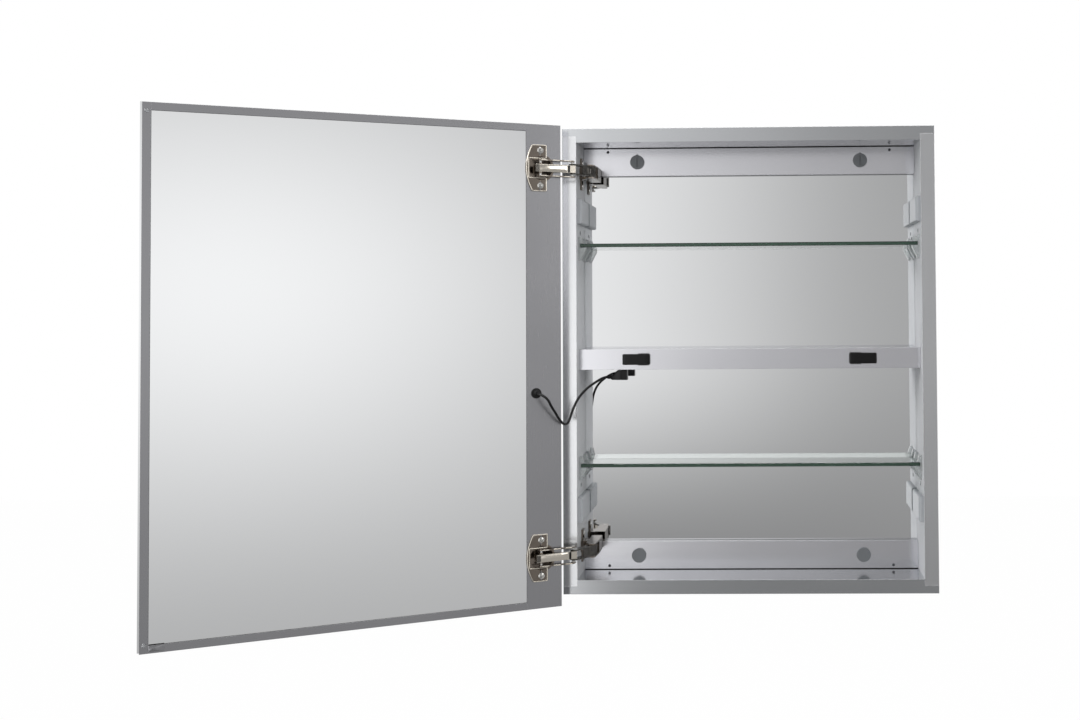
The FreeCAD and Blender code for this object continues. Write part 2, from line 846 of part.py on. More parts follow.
def knuckle(name):
    """A folded channel from the arm pin to the elbow pin, with a slotted back near the arm."""
    eye = s.knuckle_eye
    section = [
        (-eye, -knuckle_out),
        (s.knuckle_back, -knuckle_out),
        (s.knuckle_back, knuckle_out),
        (-eye, knuckle_out),
        (-eye, knuckle_in),
        (s.knuckle_back - s.plate_thickness, knuckle_in),
        (s.knuckle_back - s.plate_thickness, -knuckle_in),
        (-eye, -knuckle_in),
    ]
    channel = profile(f"{name}_section", "YZ_Plane", section, -eye, knuckle_length + eye * 2)
    end_x = plain(knuckle_length + eye)

    def at_tip(edge):
        near_end = abs(edge.CenterOfMass.x - end_x) < plain(s.plate_gap)
        return runs_along(edge, "z") and near_end and edge.Length < plain(s.plate_thickness) * 2

    eased = rounded(f"{name}_eased", channel, eye - s.plate_gap, at_tip)
    trim = box(
        f"{name}_trim",
        (knuckle_length - s.knuckle_web_trim, -s.cup_radius, -knuckle_in),
        (knuckle_length + s.cup_radius, s.cup_radius, knuckle_in),
    )
    slot_x = knuckle_length * SLOT_SHARE
    slot = box(
        f"{name}_slot",
        (slot_x - s.knuckle_slot_width / 2, zero + s.lever_eye, -s.knuckle_slot_length / 2),
        (slot_x + s.knuckle_slot_width / 2, s.cup_radius, s.knuckle_slot_length / 2),
    )
    bores = [
        rod(f"{name}_arm_bore", "z", (zero, zero, -s.cup_radius), free_bore, s.cup_radius * 2),
        facet_bore(
            f"{name}_elbow_bore",
            "z",
            (knuckle_length, zero, -s.cup_radius),
            tight_bore,
            s.cup_radius * 2,
        ),
    ]
    return cut(f"{name}_bored", eased, trim, slot, *bores)


def arm(name):
    """A folded channel along the side wall that carries the arm pin at its tip."""
    tip, root = -s.arm_eye, s.inner_depth - s.arm_pin_front - s.arm_end_gap
    wall_side = s.arm_root_side - s.arm_pin_side
    proud = s.arm_web_proud + s.plate_thickness
    plates = []
    for low in (arm_in, -arm_out):
        outline = [
            (wall_side, s.arm_eye),
            (-s.arm_eye, zero),
            (-s.arm_eye / 2, tip),
            (s.arm_eye / 2, tip),
            (s.arm_eye, zero),
            (proud, s.arm_web_start),
            (proud, root),
            (wall_side, root),
        ]
        plates.append(profile(f"{name}_plate_{len(plates)}", "XY_Plane", outline, low, s.plate_thickness))
    web = box(
        f"{name}_web",
        (s.arm_web_proud, s.arm_web_start, -arm_out),
        (proud, root, arm_out),
    )
    bore = facet_bore(f"{name}_bore", "z", (zero, zero, -s.cup_radius), tight_bore, s.cup_radius * 2)
    return cut(f"{name}_bored", fuse(f"{name}_folded", *plates, web), bore)


def mounting_plate(name):
    """The cross plate on the side wall, with the block that the arm sits on."""
    wall_x = s.stile_face - s.arm_pin_side
    start = s.base_start - s.arm_pin_front
    web_in = s.arm_web_proud
    saddle = box(
        f"{name}_saddle",
        (wall_x, start, -arm_in),
        (web_in, start + s.base_length, arm_in),
    )
    middle = start + s.base_length / 2
    wing = box(
        f"{name}_wing",
        (wall_x, middle - s.base_wing_width / 2, -s.base_wing),
        (wall_x + s.base_wing_thickness, middle + s.base_wing_width / 2, s.base_wing),
    )
    return fuse(f"{name}_cast", saddle, wing)


def pin(name, half):
    """A hinge pin about the origin."""
    return rod(name, "z", (zero, zero, -half), s.pin_radius, half * 2)


still = FreeCAD.Rotation()
PAIRS = (
    ("hinge_inner_levers", lever, cup_pin, LEVER_TURN),
    ("hinge_outer_links", side_links, cup_pin, LEVER_TURN),
    ("hinge_knuckle_channels", knuckle, arm_pin, KNUCKLE_TURN),
    ("hinge_arms", arm, arm_pin, still),
    ("hinge_mounting_plates", mounting_plate, arm_pin, still),
)
for node, make, point, turn in PAIRS:
    pair = [
        at(f"{place_name}_{node}", make(f"{place_name}_{node}_piece"), point, turn, height)
        for place_name, height in (("upper", hinge_height), ("lower", -hinge_height))
    ]
    keep(node, group(f"{node}_pair", *pair))
arm_pins, elbow_pins, cup_pins, base_screws = [], [], [], []
for place_name, height in (("upper", hinge_height), ("lower", -hinge_height)):
    for name, half, point, kept in (
        ("arm_pin", arm_out, arm_pin, arm_pins),
        ("elbow_pin", link_out, elbow_pin, elbow_pins),
    ):
        kept.append(at(f"{place_name}_{name}", pin(f"{place_name}_{name}_rod", half), point, still, height))
    for sz in (-1, 1):
        wing_middle = s.base_start - s.arm_pin_front + s.base_length / 2
        wing_face = s.stile_face - s.arm_pin_side + s.base_wing_thickness
        screw = screw_head(
            f"{place_name}_base_screw_{sz + 1}",
            "x",
            (wing_face, wing_middle, s.base_screw_height * sz),
            s.cup_screw_radius,
            s.cup_screw_height,
        )
        base_screws.append(at(f"{place_name}_base_screw_set_{sz + 1}", screw, arm_pin, still, height))
keep("hinge_arm_pins", group("arm_pin_pair", *arm_pins))
keep("hinge_elbow_pins", group("elbow_pin_pair", *elbow_pins))
keep("mounting_plate_screws", group("base_screw_set", *base_screws))


# Door, drawn shut in front of the carcass
def hang(name, item):
    """A door piece swung to the open position."""
    holder = group(f"{name}_hung", item)
    holder.Placement = SWING
    return keep(name, holder)


hinge_edge = left + s.door_side_inset
free_edge = right - s.door_side_inset
door_high = top
door_low = -top - s.door_drop
door_face = front - s.door_gap
frame_front = door_face - s.door_frame_depth
strip_edge = hinge_edge + s.hinge_strip
free_face = free_edge - s.door_edge_face
rail_under = door_high - s.door_edge_face
rail_over = door_low + s.door_edge_face


def channel(name, low_x, high_x, low_z, high_z):
    """A frame member: a channel whose open side is glued to the front mirror."""
    blank = box(f"{name}_blank", (low_x, frame_front, low_z), (high_x, door_face, high_z))
    hollow = box(
        f"{name}_hollow",
        (low_x + s.skin, frame_front - s.overrun, low_z + s.skin),
        (high_x - s.skin, door_face - s.skin, high_z - s.skin),
    )
    return cut(f"{name}_channel", blank, hollow)


stile_blank = channel("hinge_stile", hinge_edge, strip_edge, door_low, door_high)
cup_x = left + s.cup_side
grommet_x = hinge_edge + s.grommet_along
hole_length = s.door_frame_depth + s.overrun
HOLES = (
    (cup_x, hinge_height, s.cup_radius + s.cup_clearance),
    (cup_x, -hinge_height, s.cup_radius + s.cup_clearance),
    (grommet_x, s.grommet_height, s.grommet_spout_radius + s.pin_clearance),
)
stile_holes = [
    rod(f"stile_hole_{i}", "y", (x, frame_front, z), radius, hole_length)
    for i, (x, z, radius) in enumerate(HOLES)
]
hang("door_hinge_stile", cut("hinge_stile_bored", stile_blank, *stile_holes))
hang("door_free_stile", channel("free_stile", free_face, free_edge, door_low, door_high))
hang("door_top_rail", channel("door_top", strip_edge, free_face, rail_under, door_high))
hang("door_bottom_rail", channel("door_bottom", strip_edge, free_face, door_low, rail_over))

# Corner keys that lie in the free stile and in the hinge stile, at the ends of the rails
keys = []
for x_wall, sx in ((free_face + s.skin, 1), (strip_edge - s.skin, -1)):
    for low_z, high_z in (
        (door_high - s.key_leg, door_high - s.skin),
        (door_low + s.skin, door_low + s.key_leg),
    ):
        x_far = x_wall + s.key_thickness * sx
        low_x, high_x = sorted((x_wall, x_far), key=plain)
        keys.append(
            box(
                f"door_key_{len(keys)}",
                (low_x, frame_front + s.skin, low_z),
                (high_x, door_face - s.skin, high_z),
            )
        )
hang("door_corner_keys", group("door_key_set", *keys))

# Mirrors on both sides of the door, with the backing board and the heater pad between them
hang(
    "front_mirror",
    box(
        "front_glass_plate",
        (hinge_edge - s.door_side_inset, frame_front - s.front_glass, door_low - s.glass_overhang),
        (free_edge + s.glass_overhang, frame_front, door_high + s.glass_overhang),
    ),
)
mirror_out = door_face - s.inner_mirror_recess
mirror_in = mirror_out - s.inner_mirror_thickness
low_x, high_x = strip_edge + s.seat_gap, free_face - s.seat_gap
low_z, high_z = rail_over + s.seat_gap, rail_under - s.seat_gap
hang("inner_mirror", box("inner_glass_plate", (low_x, mirror_in, low_z), (high_x, mirror_out, high_z)))
heater_back = frame_front + s.heater_thickness
hang("backing_board", box("board_plate", (low_x, heater_back, low_z), (high_x, mirror_in, high_z)))
hang(
    "heater_pad",
    box(
        "heater_plate",
        (low_x + s.heater_margin, frame_front, low_z + s.heater_margin),
        (high_x - s.heater_margin, heater_back, high_z - s.heater_margin),
    ),
)

# Hinge cups: a bowed flange with two screws, a round cup with a mouth for the levers, and two ears for the pin
cup_screws, cups = [], []
for place_name, height in (("upper", hinge_height), ("lower", -hinge_height)):
    near, far = left + s.flange_near, left + s.flange_far
    flange_top = door_face + s.flange_thickness
    plate = box(
        f"{place_name}_flange_plate",
        (near, door_face, height - s.flange_half_tall),
        (far, flange_top, height + s.flange_half_tall),
    )
    bow = rod(
        f"{place_name}_flange_bow",
        "y",
        (far - s.flange_bow_radius, door_face - s.overrun, height),
        s.flange_bow_radius,
        s.overrun * 3,
    )
    flange = rounded(
        f"{place_name}_flange_eased",
        common(f"{place_name}_flange_d", plate, bow),
        s.flange_corner,
        lambda e: runs_along(e, "y"),
    )
    cup_floor = door_face - s.cup_depth
    cup = rod(f"{place_name}_cup_wall", "y", (cup_x, cup_floor, height), s.cup_radius, s.cup_depth)
    rim_radius = s.cup_radius + s.cup_rim
    rim = rod(f"{place_name}_cup_rim", "y", (cup_x, door_face, height), rim_radius, s.cup_rim_thickness)
    bowl = facet_rod(
        f"{place_name}_cup_bowl",
        "y",
        (cup_x, cup_floor + s.cup_wall, height),
        s.cup_radius - s.cup_wall,
        s.cup_depth * 2,
    )
    mouth = box(
        f"{place_name}_cup_mouth",
        (near - s.overrun, door_face + s.cup_rim_thickness, height - s.flange_mouth_half_tall),
        (left + s.flange_mouth_far, flange_top + s.overrun, height + s.flange_mouth_half_tall),
    )
    cup_blank = fuse(f"{place_name}_cup_blank", flange, cup, rim)
    shell = cut(f"{place_name}_cup_shell", cup_blank, bowl, mouth)
    pin_x, pin_y = left + s.cup_pin_side, front + s.cup_pin_front
    ears = []
    for low in (knuckle_in, -knuckle_out):
        post = box(
            f"{place_name}_ear_post_{len(ears)}",
            (pin_x - s.ear_half, cup_floor + s.cup_wall - s.plate_gap, height + low),
            (pin_x + s.ear_half, pin_y, height + low + s.plate_thickness),
        )
        name = f"{place_name}_ear_crown_{len(ears)}"
        crown = facet_rod(name, "z", (pin_x, pin_y, height + low), s.ear_half, s.plate_thickness)
        ears.append(fuse(f"{place_name}_ear_{len(ears)}", post, crown))
    bore = facet_bore(
        f"{place_name}_cup_bore",
        "z",
        (pin_x, pin_y, height - s.flange_half_tall),
        tight_bore,
        s.flange_half_tall * 2,
    )
    eared = fuse(f"{place_name}_cup_eared", shell, *ears)
    cups.append(cut(f"{place_name}_cup_drilled", eared, bore))
    pin_start = (pin_x, pin_y, height - link_out)
    cup_pins.append(rod(f"{place_name}_cup_pin", "z", pin_start, s.pin_radius, link_out * 2))
    for sz in (-1, 1):
        start = (left + s.cup_screw_side, flange_top, height + s.cup_screw_half_spacing * sz)
        name = f"{place_name}_cup_screw_{sz + 1}"
        cup_screws.append(screw_head(name, "y", start, s.cup_screw_radius, s.cup_screw_height))
hang("hinge_cups", group("cup_pair", *cups))
hang("hinge_cup_pins", group("cup_pin_pair", *cup_pins))
hang("hinge_cup_screws", group("cup_screw_set", *cup_screws))

# Soft bumpers at the free edge
bumpers = []
for z in (door_high - s.bumper_inset, door_low + s.bumper_inset):
    x = free_edge - s.door_edge_face / 2
    bumper_height = s.door_gap - s.bumper_play
    name = f"bumper_{len(bumpers)}"
    bumpers.append(facet_rod(name, "y", (x, door_face, z), s.bumper_radius, bumper_height))
hang("door_bumpers", group("bumper_pair", *bumpers))

# Grommet that the cable comes out of
grommet_tip = s.grommet_flange + s.grommet_spout
GROMMET = (
    ("flange", facet_rod, zero, s.grommet_flange_radius, s.grommet_flange),
    ("spout", facet_rod, -s.skin, s.grommet_spout_radius, grommet_tip + s.skin),
    ("bore", rod, -s.overrun, s.cable_radius, s.overrun * 4),
)
flange_disc, spout, hole = (
    make(f"grommet_{name}", "y", (grommet_x, door_face + start, s.grommet_height), radius, length)
    for name, make, start, radius, length in GROMMET
)
hang("cable_grommet", cut("grommet_bored", fuse("grommet_whole", flange_disc, spout), hole))

# Cable from the plug to the grommet: places from the carcass's left side, its front plane and its middle height
CABLE_ROUTE = [
    (39, 21, -30),
    (32, 10.5, -39.5),
    (26, -2.5, -51),
    (21.5, -14.5, -63.5),
    (17.5, -24.5, -76),
    (13, -32, -85),
    (5.5, -40.5, -86.5),
    (-1.5, -49.5, -79.5),
    (-6.5, -57, -69.5),
    (-11, -63, -60.5),
    (-15.2, -66.3, -49.5),
]


def cable_points():
    """The route from the plug's strain relief to the grommet's spout, leaving both of them straight."""
    start = FreeCAD.Vector(plain(strain_end), plain(plug_y), plain(conn_z))
    tip = FreeCAD.Vector(plain(grommet_x), plain(door_face + grommet_tip), plain(s.grommet_height))
    plug_lead = start.sub(FreeCAD.Vector(plain(s.plug_lead), 0, 0))
    grommet_lead = SWING.multVec(tip.add(FreeCAD.Vector(0, plain(s.grommet_lead), 0)))
    corner = FreeCAD.Vector(plain(left), plain(front), 0)
    between = [corner.add(FreeCAD.Vector(*p)) for p in CABLE_ROUTE]
    return [start, plug_lead, *between, grommet_lead, SWING.multVec(tip)]


def rounded_path(points):
    """Straight runs joined by tangent arcs, each as large as its two runs allow."""
    edges, at_point = [], points[0]
    for before, here, after in zip(points, points[1:], points[2:]):
        back, ahead = before.sub(here), after.sub(here)
        shorter = min(back.Length, ahead.Length)
        reach = BEND_SHARE * shorter
        turn = math.pi - back.getAngle(ahead)
        radius = reach / math.tan(turn / 2)
        u, v = FreeCAD.Vector(back).normalize(), FreeCAD.Vector(ahead).normalize()
        first, last = here + u * reach, here + v * reach
        inward = (u + v).normalize()
        middle = here + inward * (math.hypot(radius, reach) - radius)
        edges.append(Part.LineSegment(at_point, first).toShape())
        edges.append(Part.Arc(first, middle, last).toShape())
        print(f"cable: run {back.Length:.1f}, turn {math.degrees(turn):.0f} deg, radius {radius:.1f}")
        at_point = last
    edges.append(Part.LineSegment(at_point, points[-1]).toShape())
    return Part.Wire(edges)


path = rounded_path(cable_points())
first_edge = path.OrderedEdges[0]
start_tangent = first_edge.tangentAt(first_edge.FirstParameter)
across = FreeCAD.Rotation(FreeCAD.Vector(0, 0, 1), start_tangent)
facet_angle = math.tau / CABLE_SIDES
facet_radius = plain(s.cable_radius) / math.sqrt(math.sin(facet_angle) / facet_angle)
ring = [
    path.OrderedVertexes[0].Point
    + across.multVec(FreeCAD.Vector(math.cos(a) * facet_radius, math.sin(a) * facet_radius, 0))
    for a in (facet_angle * (i % CABLE_SIDES) for i in range(CABLE_SIDES + 1))
]
cable = doc.addObject("Part::Feature", "door_cable_tube")
cable.Shape = path.makePipeShell([Part.makePolygon(ring)], True, False)
section_area = math.pi * plain(s.cable_radius) ** 2
print(f"cable: length {path.Length:.1f}, volume {cable.Shape.Volume:.1f} of {section_area * path.Length:.1f}")
keep("door_cable", cable)

doc.recompute()

# Check every object and every sub-part before anything is written
faults = [item.Label for item in doc.Objects if "Invalid" in item.State or "Error" in item.State]
for name, item in NODES.items():
    if item.Shape.isNull() or not item.Shape.isValid() or not item.Shape.Solids:
        faults.append(name)
if faults:
    raise SystemExit(f"not built: {faults}")

os.makedirs("parts", exist_ok=True)
for name, item in NODES.items():
    item.Shape.exportStep(f"parts/{name}.step")
print(f"{len(NODES)} nodes, {sum(len(item.Shape.Solids) for item in NODES.values())} solids")
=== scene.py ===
"""Mirrored wall cabinet with its door open, dressed in procedural finishes for a plain studio."""

import logging
import math
from dataclasses import dataclass
from enum import Enum
from functools import cache
from typing import Any, Sequence

import bpy
import numpy as np
from mathutils import Matrix, Vector


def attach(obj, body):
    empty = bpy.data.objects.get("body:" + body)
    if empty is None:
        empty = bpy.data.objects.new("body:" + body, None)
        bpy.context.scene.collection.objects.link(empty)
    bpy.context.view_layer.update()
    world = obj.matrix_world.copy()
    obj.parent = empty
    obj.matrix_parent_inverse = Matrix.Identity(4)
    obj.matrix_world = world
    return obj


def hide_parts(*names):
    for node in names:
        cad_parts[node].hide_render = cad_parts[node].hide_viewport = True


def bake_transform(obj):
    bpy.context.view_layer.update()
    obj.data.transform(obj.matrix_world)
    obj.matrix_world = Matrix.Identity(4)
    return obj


Pair = tuple[float, float]
Triple = tuple[float, float, float]
Profile = tuple[Pair, ...]
Steps = tuple[tuple[float, ...], ...]

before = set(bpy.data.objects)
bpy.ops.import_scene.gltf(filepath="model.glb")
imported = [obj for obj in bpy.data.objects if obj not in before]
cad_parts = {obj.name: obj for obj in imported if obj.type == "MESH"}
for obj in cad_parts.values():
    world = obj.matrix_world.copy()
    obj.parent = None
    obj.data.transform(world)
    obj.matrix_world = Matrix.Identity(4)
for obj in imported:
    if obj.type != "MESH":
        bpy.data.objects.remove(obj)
log = logging.getLogger("cabinet")
MM = 0.001
DOOR_TURN = math.radians(26.2)
DOOR_NORMAL = (math.sin(DOOR_TURN), -math.cos(DOOR_TURN), 0.0)
DOOR_ALONG = (-math.cos(DOOR_TURN), -math.sin(DOOR_TURN), 0.0)
UP = (0.0, 0.0, 1.0)
SHARP_ANGLE = math.radians(38.0)
CORNER_POINTS = 36


def linear(text: str) -> tuple[float, float, float, float]:
    """Turns an sRGB hex colour into the linear colour that a shader takes.

    Args:
        text: Six hex digits after a hash sign.

    Returns:
        Red, green, blue and a full alpha.
    """
    levels = [int(text[i:i + 2], 16) / 255 for i in (1, 3, 5)]
    curve = [c / 12.92 if c <= 0.04045 else ((c + 0.055) / 1.055) ** 2.4 for c in levels]
    return (curve[0], curve[1], curve[2], 1.0)


def add_node(tree: bpy.types.NodeTree, kind: str, settings: dict[str, Any] | None = None,
             inputs: dict[Any, Any] | None = None) -> bpy.types.Node:
    """Adds one shader node, sets it up and links it.

    Args:
        tree: The node tree that takes it.
        kind: Blender's name for the node, after ShaderNode.
        settings: Properties of the node.
        inputs: Socket name or number to a constant, to the output that feeds it, or to a node whose
            first output does.

    Returns:
        The new node.
    """
    node = tree.nodes.new(f"ShaderNode{kind}")
    for key, value in (settings or {}).items():
        setattr(node, key, value)
    for key, value in (inputs or {}).items():
        if isinstance(value, bpy.types.Node):
            value = value.outputs[0]
        if isinstance(value, bpy.types.NodeSocket):
            tree.links.new(value, node.inputs[key])
        else:
            node.inputs[key].default_value = value
    return node


def new_material(name: str) -> tuple[bpy.types.Material, bpy.types.NodeTree]:
    """Makes an empty node material.

    Args:
        name: The finish that it is.

    Returns:
        The material and its node tree.
    """
    made = bpy.data.materials.new(name)
    made.use_nodes = True
    made.node_tree.nodes.clear()
    return made, made.node_tree


class Grain(Enum):
    """The way that a finish's lines run: the long axis, and the turn about the upright axis."""

    ACROSS = ("x", 0.0)
    DEEP = ("y", 0.0)
    UPRIGHT = ("z", 0.0)
    DOOR_ACROSS = ("x", DOOR_TURN)

    def spacing(self, run_mm: float, line_mm: float) -> Triple:
        """Sizes the pattern along the three axes.

        Args:
            run_mm: Its size along the lines.
            line_mm: Its size across them.

        Returns:
            Sizes along x, y and z, in metres.
        """
        sizes = [line_mm * MM] * 3
        sizes["xyz".index(self.value[0])] = run_mm * MM
        return (sizes[0], sizes[1], sizes[2])


@dataclass(frozen=True)
class DrawnMetal:
    """Metal with lines from drawing or brushing: a soft gloss that streaks along them."""

    name: str
    colour: str
    shade: str
    roughness: float
    line_mm: float = 0.9
    run_mm: float = 60.0
    depth_mm: float = 0.004
    edge_mm: float = 0.5
    cloud_mm: float = 140.0
    side_extra: float = 0.0
    gloss_shares: Pair = (0.9, 1.12)
    relief_share: float = 0.15

    @cache
    def material(self, grain: Grain) -> bpy.types.Material:
        """Builds the finish with its lines along a grain.

        Args:
            grain: The way that the lines run.

        Returns:
            The material.
        """
        made, tree = new_material(f"{self.name}_{grain.name.lower()}")
        coords = add_node(tree, "TexCoord")
        turned = add_node(tree, "Mapping", {"vector_type": "TEXTURE"}, {
            "Vector": coords.outputs["Object"],
            "Rotation": (0.0, 0.0, grain.value[1]),
            "Scale": grain.spacing(self.run_mm, self.line_mm),
        })
        lines = add_node(tree, "TexNoise", inputs={"Vector": turned, "Scale": 1.0, "Detail": 3.0})
        clouds = add_node(tree, "TexNoise", inputs={
            "Vector": coords.outputs["Object"], "Scale": 1 / (self.cloud_mm * MM), "Detail": 2.0,
        })
        tone = add_node(tree, "Mix", {"data_type": "RGBA"}, {
            0: clouds, 6: linear(self.colour), 7: linear(self.shade),
        })
        gloss = add_node(tree, "MapRange", inputs={
            "Value": lines,
            "To Min": self.roughness * self.gloss_shares[0], "To Max": self.roughness * self.gloss_shares[1],
        })
        facing = add_node(tree, "SeparateXYZ", inputs={"Vector": coords.outputs["Normal"]})
        sideways = add_node(tree, "Math", {"operation": "ABSOLUTE"}, {0: facing.outputs["X"]})
        dulled = add_node(tree, "Math", {"operation": "MULTIPLY_ADD"}, {
            0: sideways, 1: self.side_extra, 2: gloss,
        })
        edges = add_node(tree, "Bevel", inputs={"Radius": self.edge_mm * MM})
        relief = add_node(tree, "Bump", inputs={
            "Height": lines, "Strength": self.relief_share, "Distance": self.depth_mm * MM,
            "Normal": edges,
        })
        shader = add_node(tree, "BsdfPrincipled", inputs={
            "Base Color": tone.outputs[2], "Metallic": 1.0,
            "Roughness": dulled, "Normal": relief,
        })
        add_node(tree, "OutputMaterial", inputs={"Surface": shader})
        return made


@dataclass(frozen=True)
class SilveredGlass:
    """Float glass silvered behind: a clean mirror with a pale green ground edge."""

    name: str
    colour: str
    edge: str
    roughness: float = 0.012
    edge_roughness: float = 0.22
    haze_mm: float = 90.0
    film_shares: Pair = (0.5, 1.5)
    flat_from: float = 0.8

    @cache
    def material(self, facing: Triple) -> bpy.types.Material:
        """Builds the mirror for a sheet that faces one way.

        Args:
            facing: The sheet's own normal.

        Returns:
            The material.
        """
        made, tree = new_material(self.name)
        coords = add_node(tree, "TexCoord")
        turned = add_node(tree, "VectorMath", {"operation": "DOT_PRODUCT"}, {
            0: coords.outputs["Normal"], 1: facing,
        })
        size = add_node(tree, "Math", {"operation": "ABSOLUTE"}, {0: turned.outputs["Value"]})
        flat = add_node(tree, "Math", {"operation": "GREATER_THAN"}, {0: size, 1: self.flat_from})
        haze = add_node(tree, "TexNoise", inputs={
            "Vector": coords.outputs["Object"], "Scale": 1 / (self.haze_mm * MM), "Detail": 4.0,
        })
        film = add_node(tree, "MapRange", inputs={
            "Value": haze,
            "To Min": self.roughness * self.film_shares[0], "To Max": self.roughness * self.film_shares[1],
        })
        tone = add_node(tree, "Mix", {"data_type": "RGBA"}, {
            0: flat, 6: linear(self.edge), 7: linear(self.colour),
        })
        gloss = add_node(tree, "Mix", {"data_type": "FLOAT"}, {0: flat, 2: self.edge_roughness, 3: film})
        shader = add_node(tree, "BsdfPrincipled", inputs={
            "Base Color": tone.outputs[2], "Metallic": flat,
            "Roughness": gloss,
        })
        add_node(tree, "OutputMaterial", inputs={"Surface": shader})
        return made


@dataclass(frozen=True)
class ShelfGlass:
    """Clear float glass with polished edges, which gather the green of the whole sheet."""

    name: str
    colour: str
    edge: str
    roughness: float = 0.01
    smear_mm: float = 60.0
    smear_shares: Pair = (0.5, 2.0)
    flat_from: float = 0.7
    edge_clear_share: float = 0.45
    ior: float = 1.52

    @cache
    def material(self) -> bpy.types.Material:
        """Builds the glass, clear through the sheet and green along its edges.

        Returns:
            The material.
        """
        made, tree = new_material(self.name)
        coords = add_node(tree, "TexCoord")
        parts = add_node(tree, "SeparateXYZ", inputs={"Vector": coords.outputs["Normal"]})
        size = add_node(tree, "Math", {"operation": "ABSOLUTE"}, {0: parts.outputs["Z"]})
        flat = add_node(tree, "Math", {"operation": "GREATER_THAN"}, {0: size, 1: self.flat_from})
        smears = add_node(tree, "TexNoise", inputs={
            "Vector": coords.outputs["Object"], "Scale": 1 / (self.smear_mm * MM), "Detail": 3.0,
        })
        gloss = add_node(tree, "MapRange", inputs={
            "Value": smears,
            "To Min": self.roughness * self.smear_shares[0], "To Max": self.roughness * self.smear_shares[1],
        })
        tone = add_node(tree, "Mix", {"data_type": "RGBA"}, {
            0: flat, 6: linear(self.edge), 7: linear(self.colour),
        })
        clear = add_node(tree, "MapRange", inputs={
            "Value": flat, "To Min": self.edge_clear_share, "To Max": 1.0,
        })
        shader = add_node(tree, "BsdfPrincipled", inputs={
            "Base Color": tone.outputs[2], "Roughness": gloss, "IOR": self.ior,
            "Transmission Weight": clear,
        })
        add_node(tree, "OutputMaterial", inputs={"Surface": shader})
        return made


@dataclass(frozen=True)
class Moulded:
    """Moulded plastic or rubber: one colour through, a fine spark texture, and soft edges."""

    name: str
    colour: str
    shade: str
    roughness: float
    grit_mm: float = 0.8
    depth_mm: float = 0.02
    edge_mm: float = 0.4
    clearness: float = 0.0
    ior: float = 1.46
    gloss_shares: Pair = (0.85, 1.15)
    relief_share: float = 0.4

    @cache
    def material(self) -> bpy.types.Material:
        """Builds the moulded finish.

        Returns:
            The material.
        """
        made, tree = new_material(self.name)
        coords = add_node(tree, "TexCoord")
        grit = add_node(tree, "TexNoise", inputs={
            "Vector": coords.outputs["Object"], "Scale": 1 / (self.grit_mm * MM), "Detail": 2.0,
        })
        tone = add_node(tree, "Mix", {"data_type": "RGBA"}, {
            0: grit, 6: linear(self.colour), 7: linear(self.shade),
        })
        gloss = add_node(tree, "MapRange", inputs={
            "Value": grit,
            "To Min": self.roughness * self.gloss_shares[0], "To Max": self.roughness * self.gloss_shares[1],
        })
        edges = add_node(tree, "Bevel", inputs={"Radius": self.edge_mm * MM})
        relief = add_node(tree, "Bump", inputs={
            "Height": grit, "Strength": self.relief_share, "Distance": self.depth_mm * MM,
            "Normal": edges,
        })
        shader = add_node(tree, "BsdfPrincipled", inputs={
            "Base Color": tone.outputs[2], "Roughness": gloss,
            "IOR": self.ior, "Transmission Weight": self.clearness,
            "Normal": relief,
        })
        add_node(tree, "OutputMaterial", inputs={"Surface": shader})
        return made


@dataclass(frozen=True)
class SpangledSteel:
    """Hot-dipped steel sheet: flat crystals of zinc, each with its own tone and gloss."""

    name: str
    colour: str
    shade: str
    roughness: float = 0.42
    crystal_mm: float = 9.0
    gloss_shares: Pair = (0.8, 1.3)

    @cache
    def material(self) -> bpy.types.Material:
        """Builds the sheet from cells, one for each crystal.

        Returns:
            The material.
        """
        made, tree = new_material(self.name)
        coords = add_node(tree, "TexCoord")
        cells = add_node(tree, "TexVoronoi", inputs={
            "Vector": coords.outputs["Object"], "Scale": 1 / (self.crystal_mm * MM),
        })
        tone = add_node(tree, "Mix", {"data_type": "RGBA"}, {
            0: cells.outputs["Color"], 6: linear(self.colour), 7: linear(self.shade),
        })
        gloss = add_node(tree, "MapRange", inputs={
            "Value": cells.outputs["Color"],
            "To Min": self.roughness * self.gloss_shares[0], "To Max": self.roughness * self.gloss_shares[1],
        })
        shader = add_node(tree, "BsdfPrincipled", inputs={
            "Base Color": tone.outputs[2], "Metallic": 1.0, "Roughness": gloss,
        })
        add_node(tree, "OutputMaterial", inputs={"Surface": shader})
        return made


# Extruded aluminium, satin anodised: fine lines along the bar and an even silver sheen, duller on
# the walls inside than on the edges in front.
CARCASS_ALUMINIUM = DrawnMetal("satin_anodised_aluminium", "#DEDFE1", "#D3D4D6", 0.2, side_extra=0.6)
# The same aluminium rolled and brightened: the ceiling and floor give a smeared reflection.
BRIGHT_ALUMINIUM = DrawnMetal("bright_anodised_aluminium", "#CDCFD1", "#C2C4C7", 0.14, run_mm=120.0)
# Rail stock, a paler satin silver with short draw lines.
RAIL_ALUMINIUM = DrawnMetal("silver_rail_aluminium", "#DCDCE0", "#D2D2D7", 0.22, line_mm=0.7)
# Door frame, anodised a darker grey so that the glass stands out.
DOOR_ALUMINIUM = DrawnMetal("grey_anodised_aluminium", "#A1A1A4", "#969699", 0.26)
# Nickel plate over pressed steel: warm, bright and a little uneven from the press.
HINGE_NICKEL = DrawnMetal("nickel_plated_steel", "#D6D0C6", "#C4BDB1", 0.14, 2.5, 6.0, 0.02, 0.35, 14.0)
# The same plate on the cups and arms, with painted shade: its colour is darkened to stand in for the shade on
# these pieces, and it is a little rougher.
SHADED_NICKEL = DrawnMetal("painted_shade_nickel_steel", "#867D74", "#6F675F", 0.16, 2.5, 6.0, 0.02, 0.35, 10.0)
# Zinc-plated steel of the hinge's folding box, greyer and duller than the nickel.
HINGE_STEEL = DrawnMetal("grey_zinc_steel", "#76736E", "#5C5955", 0.24, 2.0, 5.0, 0.02, 0.35, 9.0)
